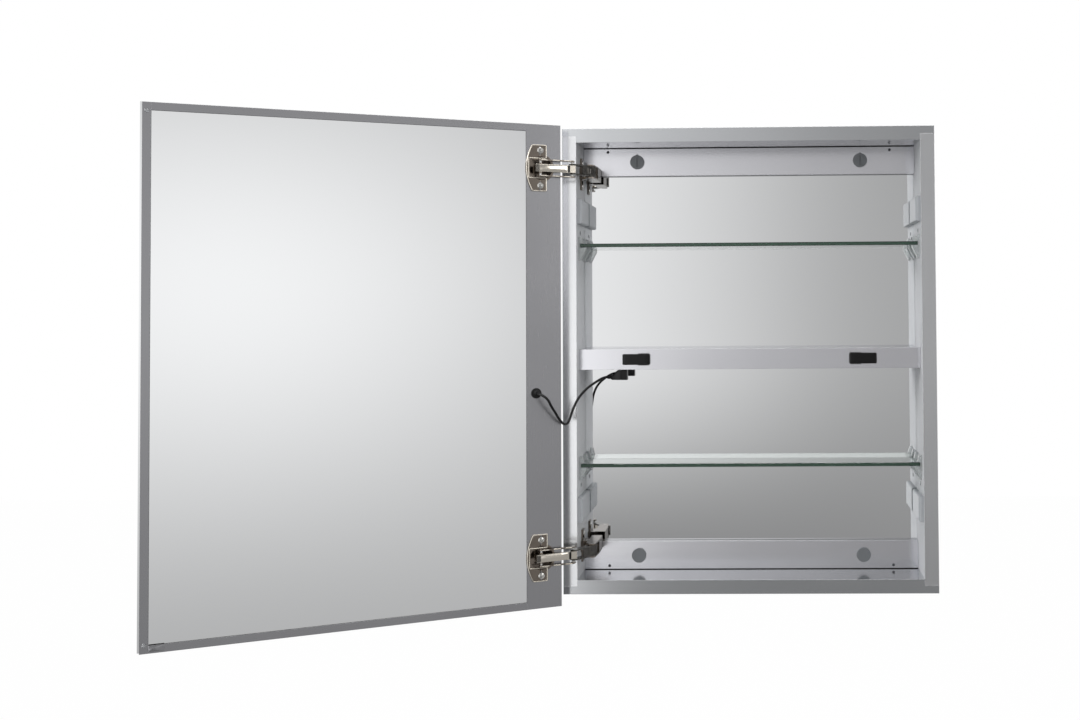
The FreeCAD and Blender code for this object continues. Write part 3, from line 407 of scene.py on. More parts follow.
# Turned screws, zinc plated, and the same screws blacked for the rails.
SCREW_STEEL = DrawnMetal("zinc_plated_screw_steel", "#C9C8C5", "#B2B1AE", 0.2, 0.5, 1.5, 0.01, 0.2, 5.0)
BLACK_STEEL = DrawnMetal("blacked_screw_steel", "#55565A", "#434447", 0.34, 0.5, 1.5, 0.01, 0.2, 5.0)
# Sheet for what the mirrors hide, and the two kinds of glass.
BACK_STEEL = SpangledSteel("hot_dipped_steel", "#B4B8BA", "#9FA4A7")
MIRROR = SilveredGlass("silvered_float_glass", "#EEEFF0", "#A9B9B2")
SHELF = ShelfGlass("clear_float_glass", "#F1F8F5", "#415C4E")
# Moulded plastics: clips and bumpers let light through, the rest are one colour to the core.
CLIP_PLASTIC = Moulded("frosted_polycarbonate", "#EEF1F1", "#E2E7E7", 0.28, clearness=0.75, ior=1.58)
BUMPER_PLASTIC = Moulded("clear_soft_urethane", "#F4F6F6", "#ECEFEF", 0.12, clearness=0.95)
BLOCK_PLASTIC = Moulded("silver_grey_abs", "#A9ACB0", "#9DA0A4", 0.36)
CAP_PLASTIC = Moulded("mid_grey_acetal", "#74777A", "#686B6E", 0.38)
DRIVER_PLASTIC = Moulded("white_polycarbonate", "#E4E4E0", "#DADAD5", 0.45)
LATCH_PLASTIC = Moulded("black_abs", "#0E0E0F", "#09090A", 0.3, ior=1.3)
# Soft black skins, duller than the hard plastics.
CABLE_RUBBER = Moulded("black_pvc_sheath", "#0E0E10", "#09090A", 0.4, grit_mm=0.5, ior=1.33)
GROMMET_RUBBER = Moulded("black_rubber", "#111112", "#0C0C0D", 0.5, grit_mm=0.6, ior=1.33)
# Foam cells and pressed fibres: matt and coarse.
PAD_FOAM = Moulded("grey_cell_foam", "#8C8E90", "#6F7173", 0.9, grit_mm=1.4, depth_mm=0.3)
BACKING_BOARD = Moulded("pressed_fibreboard", "#8A6B4A", "#76583A", 0.8, grit_mm=1.1, depth_mm=0.1)


def cover(material: bpy.types.Material, *nodes: str) -> None:
    """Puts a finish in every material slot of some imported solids.

    Args:
        material: The finish.
        nodes: The solids' names.
    """
    for node in nodes:
        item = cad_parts[node]
        if not item.material_slots:
            item.data.materials.append(material)
        for place in item.material_slots:
            place.material = material
        log.info("%s in %s", node, material.name)


def surface(name: str, bodies: Sequence[np.ndarray], material: bpy.types.Material,
            looped: bool = False) -> bpy.types.Object:
    """Makes one piece from closed bodies, each of them rings of points.

    Each cell between neighbouring rings and neighbouring points of a ring is one face, and the
    last point of a ring joins its first. One face closes each end ring, or, in a looped body,
    the last ring joins the first. A body whose inside volume comes out negative is turned round.

    Args:
        name: The piece's name.
        bodies: For each body, rings by points by three, in metres.
        material: Its finish.
        looped: Whether the rings run round in a loop.

    Returns:
        The object, at the origin and in the scene.
    """
    faces: list[list[int]] = []
    start = 0
    for body in bodies:
        index = np.arange(body.shape[0] * body.shape[1]).reshape(body.shape[:2])
        near, far = (index, np.roll(index, -1, axis=0)) if looped else (index[:-1], index[1:])
        quads = np.stack([near, np.roll(near, -1, axis=1), np.roll(far, -1, axis=1), far], axis=-1)
        quads = quads.reshape(-1, 4)
        centred = body.reshape(-1, 3) - body.reshape(-1, 3).mean(axis=0)
        a, b, c, d = (centred[quads[:, i]] for i in range(4))
        volume = np.einsum("ij,ij->", a, np.cross(b, c)) + np.einsum("ij,ij->", a, np.cross(c, d))
        made = (quads + start).tolist()
        if not looped:
            made += [(index[0] + start)[::-1].tolist(), (index[-1] + start).tolist()]
        faces += [face[::-1] for face in made] if volume < 0 else made
        start += index.size
    mesh = bpy.data.meshes.new(name)
    mesh.from_pydata(np.vstack([body.reshape(-1, 3) for body in bodies]).tolist(), [], faces)
    mesh.polygons.foreach_set("use_smooth", [True] * len(faces))
    mesh.set_sharp_from_angle(angle=SHARP_ANGLE)
    mesh.materials.append(material)
    mesh.update()
    piece = bpy.data.objects.new(name, mesh)
    bpy.context.scene.collection.objects.link(piece)
    log.info("%s has %d faces", name, len(faces))
    return piece


def fit(piece: bpy.types.Object, body: str, slot: str, *replaced: str) -> None:
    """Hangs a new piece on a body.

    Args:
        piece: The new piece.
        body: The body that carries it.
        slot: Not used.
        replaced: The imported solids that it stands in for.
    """
    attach(piece, body)
    if replaced:
        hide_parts(*replaced)


@dataclass(frozen=True)
class Axes:
    """A place to build at: an origin in millimetres and three square directions."""

    origin: Triple
    first: Triple
    second: Triple
    third: Triple

    def place(self, a: Any, b: Any, c: Any) -> np.ndarray:
        """Turns distances along the three directions into points.

        Args:
            a: Distances along the first direction, in millimetres.
            b: Distances along the second.
            c: Distances along the third.

        Returns:
            Points in metres, in the arrays' shape.
        """
        steps = np.stack(np.broadcast_arrays(a, b, c), axis=-1)
        return (steps @ np.array([self.first, self.second, self.third]) + np.array(self.origin)) * MM


def lathe(axes: Axes, profile: Sequence[Pair], sides: int = 40) -> np.ndarray:
    """Turns a profile about the third direction: every ring is a circle.

    Args:
        axes: Where it stands.
        profile: Height and radius of each ring, in millimetres.
        sides: Points in a ring.

    Returns:
        Rings by points by three.
    """
    angle = np.linspace(0.0, math.tau, sides, endpoint=False)
    height, radius = (column[:, None] for column in np.array(profile).T)
    return axes.place(radius * np.cos(angle), radius * np.sin(angle), height)


def loft(axes: Axes, steps: Sequence[tuple[float, ...]], count: int = 64) -> np.ndarray:
    """Stacks rectangles with quarter-circle corners, their points spaced evenly along the edge.

    Args:
        axes: Where the stack stands.
        steps: For each ring the height, the middle along the first and second directions, the
            two half sizes and the corner radius, in millimetres.
        count: Points in a ring.

    Returns:
        Rings by points by three.
    """
    turn = np.linspace(0.0, math.tau, CORNER_POINTS, endpoint=False) + math.pi / (2 * CORNER_POINTS)
    across, up = np.cos(turn), np.sin(turn)
    rings = []
    for height, mid_a, mid_b, half_a, half_b, corner in steps:
        edge = np.c_[np.sign(across) * (half_a - corner) + corner * across,
                     np.sign(up) * (half_b - corner) + corner * up]
        edge = np.vstack([edge, edge[:1]])
        gone = np.r_[0.0, np.cumsum(np.linalg.norm(np.diff(edge, axis=0), axis=1))]
        at = np.linspace(0.0, gone[-1], count, endpoint=False)
        rings.append(np.c_[np.interp(at, gone, edge[:, 0]) + mid_a, np.interp(at, gone, edge[:, 1]) + mid_b,
                           np.full(count, height)])
    grid = np.array(rings)
    return axes.place(grid[..., 0], grid[..., 1], grid[..., 2])


def sweep(line: np.ndarray, level: Sequence[float], radius: float, sides: int,
          looped: bool = False) -> np.ndarray:
    """Carries a circle along a line.

    At each point the circle lies across the line's direction, its first axis is the part of one
    fixed direction that is square to the line, and its second is square to both.

    Args:
        line: Points along the line, in metres.
        level: The fixed direction.
        radius: The circle's radius, in metres.
        sides: Points in a ring.
        looped: Whether the line's end meets its start.

    Returns:
        Rings by points by three.
    """
    along = np.roll(line, -1, axis=0) - np.roll(line, 1, axis=0) if looped else np.gradient(line, axis=0)
    along /= np.linalg.norm(along, axis=1, keepdims=True)
    fixed = np.array(level)
    first = fixed - (along @ fixed)[:, None] * along
    first /= np.linalg.norm(first, axis=1, keepdims=True)
    second = np.cross(along, first)
    angle = np.linspace(0.0, math.tau, sides, endpoint=False)[None, :, None]
    return line[:, None] + radius * (first[:, None] * np.cos(angle) + second[:, None] * np.sin(angle))


@dataclass(frozen=True)
class CrossScrew:
    """A domed screw head with a cross recess; sizes in millimetres."""

    radius: float
    height: float
    recess: float
    rim: float = 0.45
    bar_half: float = 0.5
    reach_share: float = 0.66
    core_share: float = 0.03
    soft: float = 0.35
    rings: int = 18
    sides: int = 64

    def shape(self, axes: Axes) -> np.ndarray:
        """Shapes the head as heights over a disc.

        The height falls with the square of the distance from the middle down to the rim. Two
        crossed bars with soft sides are sunk in it, and the last ring drops to the seat.

        Args:
            axes: The middle of the seat, with the third direction out of the head.

        Returns:
            Rings by points by three.
        """
        share = np.linspace(self.core_share, 1.0, self.rings)[:, None]
        angle = np.linspace(0.0, math.tau, self.sides, endpoint=False)
        a, b = share * self.radius * np.cos(angle), share * self.radius * np.sin(angle)
        bars = [
            np.clip((self.bar_half - np.abs(p)) / self.soft + 0.5, 0.0, 1.0)
            * np.clip((self.radius * self.reach_share - np.abs(q)) / self.soft + 0.5, 0.0, 1.0)
            for p, q in ((a, b), (b, a))
        ]
        lift = self.rim + (self.height - self.rim) * (1.0 - share ** 2) - self.recess * np.maximum(*bars)
        return axes.place(np.vstack([a, a[-1:]]), np.vstack([b, b[-1:]]), np.vstack([lift, 0.0 * a[-1:]]))


@dataclass
class Carcass:
    """The open box: two side extrusions, bright top and bottom, and the mirrored back."""

    wall_mm: float = 235.0
    sleeve_depth_mm: float = -49.0
    sleeve_heights_mm: Pair = (175.5, -173.8)
    sleeve_profile: Profile = (
        (0.0, 3.0), (0.3, 3.0), (0.45, 2.7), (0.45, 1.8), (0.12, 1.6),
    )

    def build(self) -> None:
        """Sets a small sleeve for a spare shelf pin in each side wall, twice: a turned ring."""
        places = [
            Axes((-side * self.wall_mm, self.sleeve_depth_mm, height), (0, 1, 0), (0, 0, 1), (side, 0, 0))
            for side in (1, -1) for height in self.sleeve_heights_mm
        ]
        sleeves = [lathe(axes, self.sleeve_profile) for axes in places]
        fit(surface("shelf_pin_sleeves", sleeves, CAP_PLASTIC.material()), "cabinet", "grey_plastic")

    def dress(self) -> None:
        """Gives the walls, back and corner blocks their finishes."""
        cover(CARCASS_ALUMINIUM.material(Grain.UPRIGHT), "left_side_panel", "right_side_panel")
        cover(BRIGHT_ALUMINIUM.material(Grain.ACROSS), "top_panel", "bottom_panel")
        cover(BACK_STEEL.material(), "corner_brackets", "back_sheet")
        cover(MIRROR.material((0.0, 1.0, 0.0)), "rear_mirror")
        cover(PAD_FOAM.material(), "mirror_pad")
        cover(BLOCK_PLASTIC.material(), "left_cover_blocks", "right_cover_blocks")


@dataclass
class WallFixings:
    """The two fixing rails with their screws, quarter-turn locks and caps."""

    screw: CrossScrew = CrossScrew(2.0, 0.9, 0.5, rim=0.3, bar_half=0.3)
    screw_place_mm: Triple = (199.7, -17.2, 292.2)
    # Painted shade: a thin black bead along each rail's outer joint stands in for the dark shadow gap there.
    shade_bead_place_mm: Pair = (-17.2, 296.9)
    shade_bead_half_mm: float = 234.5
    shade_bead_radius_mm: float = 0.45
    shade_bead_sides: int = 10

    def build(self) -> None:
        """Sets a blacked screw at both ends of each rail, and along its outer joint a thin black bead that
        paints in the joint's shade.
        """
        x, y, z = self.screw_place_mm
        heads = [
            self.screw.shape(Axes((x * side, y, z * end), (1, 0, 0), (0, 0, 1), (0, -1, 0)))
            for side in (-1, 1) for end in (-1, 1)
        ]
        screws = surface("rail_screw_heads", heads, BLACK_STEEL.material(Grain.DEEP))
        fit(screws, "cabinet", "screw_steel", "rail_screws")
        # Painted shade: the black bead fills the joint's shadow gap, and the cabinet has no seal there.
        y, z = self.shade_bead_place_mm
        joints = [Axes((0.0, y, z * end), (1, 0, 0), (0, 1, 0), UP) for end in (-1, 1)]
        ends = np.array([-1.0, 1.0]) * self.shade_bead_half_mm
        shade_beads = [
            sweep(axes.place(ends, 0.0, 0.0), axes.third, self.shade_bead_radius_mm * MM, self.shade_bead_sides)
            for axes in joints
        ]
        fit(surface("rail_joint_painted_shade", shade_beads, GROMMET_RUBBER.material()), "cabinet", "black_rubber")

    def dress(self) -> None:
        """Gives the rails and what sits in them their finishes."""
        cover(RAIL_ALUMINIUM.material(Grain.ACROSS), "top_hanging_rail", "bottom_fixing_rail")
        cover(CAP_PLASTIC.material(), "left_hang_lock", "right_hang_lock", "bottom_screw_caps")
        cover(SCREW_STEEL.material(Grain.DEEP), "rail_screws")


@dataclass
class Shelving:
    """Two glass shelves on frosted clips."""

    def dress(self) -> None:
        """Gives the shelves and clips their finishes."""
        cover(SHELF.material(), "upper_glass_shelf", "lower_glass_shelf")
        cover(CLIP_PLASTIC.material(), "upper_shelf_clips", "lower_shelf_clips")


@dataclass
class MiddleRail:
    """The rail across the middle: cover, plate, driver, slide latches and the cable's connector."""

    latch_middle_mm: float = 155.7
    face_mm: float = -64.0
    rib_pitch_mm: float = 3.2
    rib_from_mm: float = 2.5
    rib_to_mm: float = 16.9
    rib_share: float = 0.18
    plate_from: int = 4
    latch_points: int = 200
    latch_steps: Steps = (
        (-3.9, 0, 0, 8, 7, 1), (-1.9, 0, 0, 8, 7, 1), (-1.9, 0, 0, 6, 3.5, 0.6), (0.3, 0, 0, 6, 3.5, 0.6),
        (0.3, 0, 0, 18.9, 7.4, 1.8), (3.2, 0, 0, 18.9, 7.4, 1.8), (4.0, 0, 0, 18.5, 7.2, 1.7),
        (4.4, 0, 0, 17.7, 6.8, 1.5), (4.5, 0, 0, 16.2, 6.0, 1.3), (4.5, 0, 0, 9, 3.2, 0.8),
        (4.5, 0, 0, 1, 0.5, 0.3),
    )
    plug_middle_mm: Triple = (0.0, -54.0, -24.5)
    plug_steps: Steps = (
        (-197, 0, 0, 2.2, 2.2, 2.1), (-196.4, 0, 0, 2.9, 2.9, 2.8), (-195.6, 0, 0, 2.9, 2.9, 2.8),
        (-195.2, 0, 0, 2.3, 2.3, 2.2), (-194.7, 0, 0, 2.3, 2.3, 2.2), (-194.3, 0, 0, 3.0, 3.0, 2.9),
        (-193.5, 0, 0, 3.0, 3.0, 2.9), (-193.1, 0, 0, 2.5, 2.5, 2.4), (-192.6, 0, 0, 2.5, 2.5, 2.4),
        (-192.2, 0, 0, 3.2, 3.0, 2.9), (-191.2, 0, -0.3, 3.6, 3.2, 1.8), (-190.4, 0, -0.8, 5.0, 3.1, 1.2),
        (-186.5, 0, 0.6, 6.3, 4.5, 1.2), (-182, 0, 2.9, 7.3, 6.8, 1.2), (-177.4, 0, 3.05, 7.3, 6.95, 1.2),
        (-177.05, 0, 3.05, 6.9, 6.6, 1.1),
    )

    def build(self) -> None:
        """Moulds the two finger pieces and the plug.

        A finger piece is a stack of rounded rectangles from its foot to its face. Over the half
        towards the middle its long edges swell with the cosine of the distance along it. The
        plug is a stack along the cable: a ringed boot, then a wedge that grows to the socket.
        """
        black = LATCH_PLASTIC.material()
        for side, name in ((1, "left"), (-1, "right")):
            middle = (-side * self.latch_middle_mm, self.face_mm, 0.0)
            axes = Axes(middle, (side, 0, 0), UP, (0, -1, 0))
            body = loft(axes, self.latch_steps, self.latch_points)
            along = (body[..., 0] / MM - axes.origin[0]) * side
            wave = 0.5 - 0.5 * np.cos(math.tau * (along - self.rib_from_mm) / self.rib_pitch_mm)
            on_grip = (along > self.rib_from_mm) & (along < self.rib_to_mm)
            on_grip[:self.plate_from] = False
            body[..., 2] *= 1.0 + self.rib_share * wave * on_grip
            fit(surface(f"{name}_finger_piece", [body], black), f"{name}_latch", "black_plastic",
                f"{name}_slide_latch")
        plug = loft(Axes(self.plug_middle_mm, (0, 1, 0), (0, 0, 1), (1, 0, 0)), self.plug_steps)
        fit(surface("moulded_cable_plug", [plug], black), "cabinet", "black_plastic", "cable_plug")

    def dress(self) -> None:
        """Gives the rail and its fittings their finishes."""
        cover(RAIL_ALUMINIUM.material(Grain.ACROSS), "mid_rail_cover", "mid_rail_plate")
        cover(DRIVER_PLASTIC.material(), "lamp_driver")
        cover(LATCH_PLASTIC.material(), "left_slide_latch", "right_slide_latch", "cable_socket", "cable_plug")


@dataclass
class DoorCable:
    """The thin cable from the middle rail to the door: it dips between its two ends.
    """

    radius: float = 1.7 * MM
    sides: int = 24
    length: float = 186.7 * MM
    smoothness: int = 16
    cabinet_part: int = 6
    door_part: int = 8
    across: Triple = (0.7, -0.7, 0.0)
    route_mm: tuple[Triple, ...] = (
        (-197.0, -54.0, -24.5), (-201.7, -54.4, -24.7), (-213.1, -63.4, -31.5),
        (-223.0, -74.0, -39.0), (-231.3, -87.1, -49.2), (-236.6, -99.0, -61.3),
        (-239.6, -108.8, -73.6), (-241.7, -115.9, -82.2), (-246.3, -123.9, -83.1),
        (-250.9, -132.5, -75.5), (-254.8, -140.0, -65.6), (-259.0, -146.2, -57.2),
        (-263.0, -149.8, -46.7), (-273.556, -146.479, -41.0), (-278.567, -136.295, -41.0),
    )

    def line(self) -> np.ndarray:
        """Reads the cable's middle line from a smooth spline through the route's control points.

        Returns:
            Points along the line, in metres.
        """
        route = np.array(self.route_mm) * MM
        curve = bpy.data.curves.new("cable_line", "CURVE")
        curve.dimensions = "3D"
        curve.resolution_u = self.smoothness
        spline = curve.splines.new("NURBS")
        spline.points.add(len(route) - 1)
        spline.points.foreach_set("co", np.c_[route, np.ones(len(route))].ravel())
        spline.order_u = 3
        spline.use_endpoint_u = True
        holder = bpy.data.objects.new("cable_line", curve)
        mesh = bpy.data.meshes.new_from_object(holder)
        points = np.empty(len(mesh.vertices) * 3, np.float32)
        mesh.vertices.foreach_get("co", points)
        bpy.data.objects.remove(holder)
        bpy.data.curves.remove(curve)
        bpy.data.meshes.remove(mesh)
        return points.reshape(-1, 3).astype(float)

    def build(self) -> None:
        """Carries the sheath's circle along the line in place of the imported cable."""
        line = self.line()
        body = sweep(line, self.across, self.radius, self.sides)
        tube = surface("door_cable_sheath", [body], CABLE_RUBBER.material())
        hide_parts("door_cable")
        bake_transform(tube)
        log.info("%s follows %d points", tube.name, len(line))

    def dress(self) -> None:
        """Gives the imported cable, which the sheath stands in for, the same finish."""
        cover(CABLE_RUBBER.material(), "door_cable")


@dataclass
class HingePair:
    """Two folding cabinet hinges: mounting plates, arms, folding boxes, levers and cups."""

    height_mm: float = 258.0
    cup_place_mm: Pair = (-275.609, -128.711)
    cup_pin_mm: Pair = (-275.568, -128.8)
    arm_pin_mm: Pair = (-216.0, -79.0)
    lever_along: Triple = (0.87455, 0.48494, 0.0)
    lever_out: Triple = (0.48494, -0.87455, 0.0)
    knuckle_along: Triple = (-0.59023, -0.80724, 0.0)
    knuckle_out: Triple = (0.80724, -0.59023, 0.0)
    cup_screw: CrossScrew = CrossScrew(4.1, 1.7, 1.1)
    cup_screw_rise_mm: float = 23.5
    plate_screw: CrossScrew = CrossScrew(3.9, 1.6, 1.0)
    plate_screw_mm: Pair = (-232.5, -41.0)
    plate_screw_rise_mm: float = 16.0
    lever_face_mm: float = 5.2
    tongue_steps: Steps = (
        (5.2, 16.5, 0, 19.3, 4.5, 2.4), (5.6, 16.5, 0, 19.3, 4.5, 2.4), (5.8, 16.5, 0, 18.9, 4.2, 2.2),
    )
    eye_steps: Steps = (
        (5.2, -5.4, 0, 2.4, 4.5, 0.6), (5.9, -5.4, 0, 2.4, 4.5, 0.6), (6.0, -5.4, 0, 2.2, 4.3, 0.5),
        (6.0, -5.4, 0, 1.4, 2.5, 0.3), (5.3, -5.4, 0, 1.3, 2.4, 0.3),
    )
    # Painted shade: a black strip on the lever stands in for the shadow gap between its face and the knuckle.
    gap_steps: Steps = ((5.2, 38.2, 0, 1.5, 4.7, 0.3), (5.4, 38.2, 0, 1.5, 4.7, 0.3))
    slot_steps: Steps = (
        (6.0, 8.73, 0, 2.7, 4.6, 2.6), (6.3, 8.73, 0, 2.7, 4.6, 2.6), (6.4, 8.73, 0, 2.5, 4.4, 2.4),
        (6.4, 8.73, 0, 1.7, 3.5, 1.6), (5.2, 8.73, 0, 1.2, 2.9, 1.1),
    )
    # Painted shade: a black plug sunk in each knuckle's slot stands in for the shade at the slot's bottom.
    slot_shade_steps: Steps = (
        (4.6, 8.73, 0, 1.1, 2.8, 1.0), (5.5, 8.73, 0, 1.1, 2.8, 1.0), (5.6, 8.73, 0, 0.9, 2.6, 0.8),
    )
    link_from_mm: float = -1.0
    link_to_mm: float = 45.0
    link_rise_mm: float = 10.55
    link_wave_mm: float = 16.0
    link_swell_mm: float = 0.5
    bead_mm: float = 0.75
    bow_points: int = 25
    rim_points: int = 220
    rim_sides: int = 10
    link_points: int = 60
    link_sides: int = 12
    flange_middle_mm: float = -42.5
    flange_radius_mm: float = 61.4
    flange_half_mm: float = 30.4
    flange_near_mm: float = -7.9
    mouth_half_mm: float = 13.1
    mouth_far_mm: float = 16.0

    def rim(self, axes: Axes) -> np.ndarray:
        """Runs a bead round a cup's flange: the bowed outer edge and the mouth for the levers.

        The bow is part of a circle, the rest is straight, and the points are spaced evenly.

        Args:
            axes: The flange's middle, with the third direction out of the door.

        Returns:
            Rings by points by three.
        """
        half, mouth = self.flange_half_mm, self.mouth_half_mm
        bow = np.arcsin(half / self.flange_radius_mm) * np.linspace(1.0, -1.0, self.bow_points)
        arc = self.flange_radius_mm * np.c_[np.cos(bow), np.sin(bow)] + (self.flange_middle_mm, 0.0)
        edge = np.vstack([
            [(self.flange_near_mm, mouth), (self.flange_near_mm, half)], arc,
            [(self.flange_near_mm, -half), (self.flange_near_mm, -mouth), (self.mouth_far_mm, -mouth),
             (self.mouth_far_mm, mouth), (self.flange_near_mm, mouth)],
        ])
        gone = np.r_[0.0, np.cumsum(np.linalg.norm(np.diff(edge, axis=0), axis=1))]
        at = np.linspace(0.0, gone[-1], self.rim_points, endpoint=False)
        line = axes.place(np.interp(at, gone, edge[:, 0]), np.interp(at, gone, edge[:, 1]), 0.0)
        return sweep(line, axes.third, self.bead_mm * MM, self.rim_sides, looped=True)

    def wavy_edge(self, axes: Axes, rise: float) -> np.ndarray:
        """Runs a bead along a side link's outer edge, swelling out and in with a sine.

        Args:
            axes: The lever's place.
            rise: Height of the link over the lever's middle, in millimetres.

        Returns:
            Rings by points by three.
        """
        along = np.linspace(self.link_from_mm, self.link_to_mm, self.link_points)
        out = self.lever_face_mm + self.link_swell_mm * (np.sin(math.tau * along / self.link_wave_mm) - 1.0)
        return sweep(axes.place(along, rise, out), axes.second, self.bead_mm * MM, self.link_sides)

    def build(self) -> None:
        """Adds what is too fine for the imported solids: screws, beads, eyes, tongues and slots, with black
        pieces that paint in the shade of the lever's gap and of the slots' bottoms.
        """
        heights = (self.height_mm, -self.height_mm)
        cups = [Axes((*self.cup_place_mm, z), DOOR_ALONG, UP, DOOR_NORMAL) for z in heights]
        levers = [Axes((*self.cup_pin_mm, z), self.lever_along, UP, self.lever_out) for z in heights]
        boxes = [Axes((*self.arm_pin_mm, z), self.knuckle_along, UP, self.knuckle_out) for z in heights]
        zinc, black = SCREW_STEEL.material(Grain.UPRIGHT), LATCH_PLASTIC.material()
        bright, dark = HINGE_NICKEL.material(Grain.ACROSS), HINGE_STEEL.material(Grain.UPRIGHT)
        ends = [height + self.cup_screw_rise_mm * side for height in heights for side in (1, -1)]
        seats = [Axes((*self.cup_place_mm, z), DOOR_ALONG, UP, DOOR_NORMAL) for z in ends]
        heads = [self.cup_screw.shape(axes) for axes in seats]
        fit(surface("cup_screw_heads", heads, zinc), "door", "screw_steel", "hinge_cup_screws")
        ends = [height + self.plate_screw_rise_mm * side for height in heights for side in (1, -1)]
        seats = [Axes((*self.plate_screw_mm, z), (0, 1, 0), UP, (1, 0, 0)) for z in ends]
        heads = [self.plate_screw.shape(axes) for axes in seats]
        fit(surface("plate_screw_heads", heads, zinc), "cabinet", "screw_steel", "mounting_plate_screws")
        rims = surface("cup_rim_beads", [self.rim(axes) for axes in cups], bright, looped=True)
        fit(rims, "door", "hinge_nickel")
        edges = [self.wavy_edge(axes, self.link_rise_mm * side) for axes in levers for side in (1, -1)]
        fit(surface("link_edge_beads", edges, bright), "hinge_levers", "hinge_nickel")
        for name, places, steps, material, body, slot in (
            ("lever_tongues", levers, self.tongue_steps, bright, "hinge_levers", "hinge_nickel"),
            ("lever_eyes", levers, self.eye_steps, dark, "hinge_levers", "hinge_steel"),
            ("lever_gap_painted_shade", levers, self.gap_steps, black, "hinge_levers", "hinge_steel"),
            ("knuckle_slot_rims", boxes, self.slot_steps, dark, "hinge_knuckles", "hinge_steel"),
            ("knuckle_slot_painted_shade", boxes, self.slot_shade_steps, black, "hinge_knuckles", "hinge_steel"),
        ):
            fit(surface(name, [loft(axes, steps) for axes in places], material), body, slot)

    def dress(self) -> None:
        """Gives the pressed, cast and turned pieces their finishes."""
        cover(HINGE_NICKEL.material(Grain.ACROSS), "hinge_inner_levers")
        # Painted shade: the arms, plates, links and cups take the darkened copy of the nickel.
        cover(SHADED_NICKEL.material(Grain.ACROSS), "hinge_arms", "hinge_mounting_plates", "hinge_outer_links",
              "hinge_cups")
        cover(HINGE_STEEL.material(Grain.UPRIGHT), "hinge_knuckle_channels")
        cover(SCREW_STEEL.material(Grain.UPRIGHT), "mounting_plate_screws", "hinge_arm_pins",
              "hinge_elbow_pins", "hinge_cup_pins", "hinge_cup_screws")


@dataclass
class MirrorDoor:
    """The door: a grey frame with mirror glass outside and inside, and what the frame hides."""

    grommet_mm: Triple = (-281.66, -130.01, -41.0)
    grommet_profile: Profile = (
        (0.0, 6.8), (1.2, 6.8), (1.8, 6.5), (2.0, 6.0), (2.1, 4.6), (2.5, 3.8), (3.2, 3.3), (3.5, 3.4),
        (3.8, 3.6), (4.3, 3.6), (4.6, 3.4), (4.9, 3.2), (5.2, 3.4), (5.5, 3.5), (6.0, 3.5), (6.3, 3.3),
        (6.7, 2.9), (6.95, 2.3),
    )
    grommet_sides: int = 48
    bumper_mm: Pair = (-699.1, -335.42)
    bumper_heights_mm: Pair = (306.5, -314.5)
    bumper_profile: Profile = (
        (0.0, 2.5), (0.5, 2.48), (0.9, 2.25), (1.25, 1.8), (1.5, 1.2), (1.66, 0.5), (1.69, 0.1),
    )
    key_mm: Triple = (-687.05, -329.49, -318.9)
    key_steps: Steps = (
        (0.0, 0, 0, 8.3, 3.8, 0.6), (0.3, 0, 0, 8.3, 3.8, 0.6), (0.45, 0, 0, 8.1, 3.6, 0.5),
    )
    gap_steps: Steps = ((0.0, 0, 4.2, 8.3, 0.4, 0.2), (0.25, 0, 4.2, 8.3, 0.4, 0.2))

    def build(self) -> None:
        """Adds the turned cable grommet, the clear bumpers and the corner key's end in the frame."""
        seat = Axes(self.grommet_mm, DOOR_ALONG, UP, DOOR_NORMAL)
        grommet = lathe(seat, self.grommet_profile, self.grommet_sides)
        fit(surface("cable_grommet_boot", [grommet], GROMMET_RUBBER.material()), "door", "black_rubber",
            "cable_grommet")
        bumpers = [
            lathe(Axes((*self.bumper_mm, z), DOOR_ALONG, UP, DOOR_NORMAL), self.bumper_profile)
            for z in self.bumper_heights_mm
        ]
        fit(surface("clear_door_bumpers", bumpers, BUMPER_PLASTIC.material()), "door", "clear_plastic",
            "door_bumpers")
        corner = Axes(self.key_mm, DOOR_ALONG, UP, DOOR_NORMAL)
        metal = DOOR_ALUMINIUM.material(Grain.DOOR_ACROSS)
        fit(surface("corner_key_end", [loft(corner, self.key_steps)], metal), "door", "door_metal")
        gap = surface("corner_key_joint", [loft(corner, self.gap_steps)], LATCH_PLASTIC.material())
        fit(gap, "door", "black_rubber")

    def dress(self) -> None:
        """Gives the frame, glass and fittings their finishes."""
        cover(DOOR_ALUMINIUM.material(Grain.UPRIGHT), "door_hinge_stile", "door_free_stile")
        cover(DOOR_ALUMINIUM.material(Grain.DOOR_ACROSS), "door_top_rail", "door_bottom_rail")
        cover(MIRROR.material(DOOR_NORMAL), "front_mirror", "inner_mirror")
        cover(BACK_STEEL.material(), "door_corner_keys")
        cover(BACKING_BOARD.material(), "backing_board")
        cover(PAD_FOAM.material(), "heater_pad")
        cover(BUMPER_PLASTIC.material(), "door_bumpers")
        cover(GROMMET_RUBBER.material(), "cable_grommet")


@dataclass(frozen=True)
class Glow:
    """A soft bright patch of the studio's far wall, as metal and mirrors see it.

    Angles are in degrees, sideways from straight ahead of the cabinet and up from level. The
    patch is full up to the inner angle from its middle and gone at the outer one.
    """

    sideways: float
    inner_side: float
    outer_side: float
    up: float
    inner_up: float
    outer_up: float
    level: float


@dataclass(frozen=True)
class Lamp:
    """One soft box: its place, its sides and its power."""

    name: str
    place: Triple
    side: float
    power: float


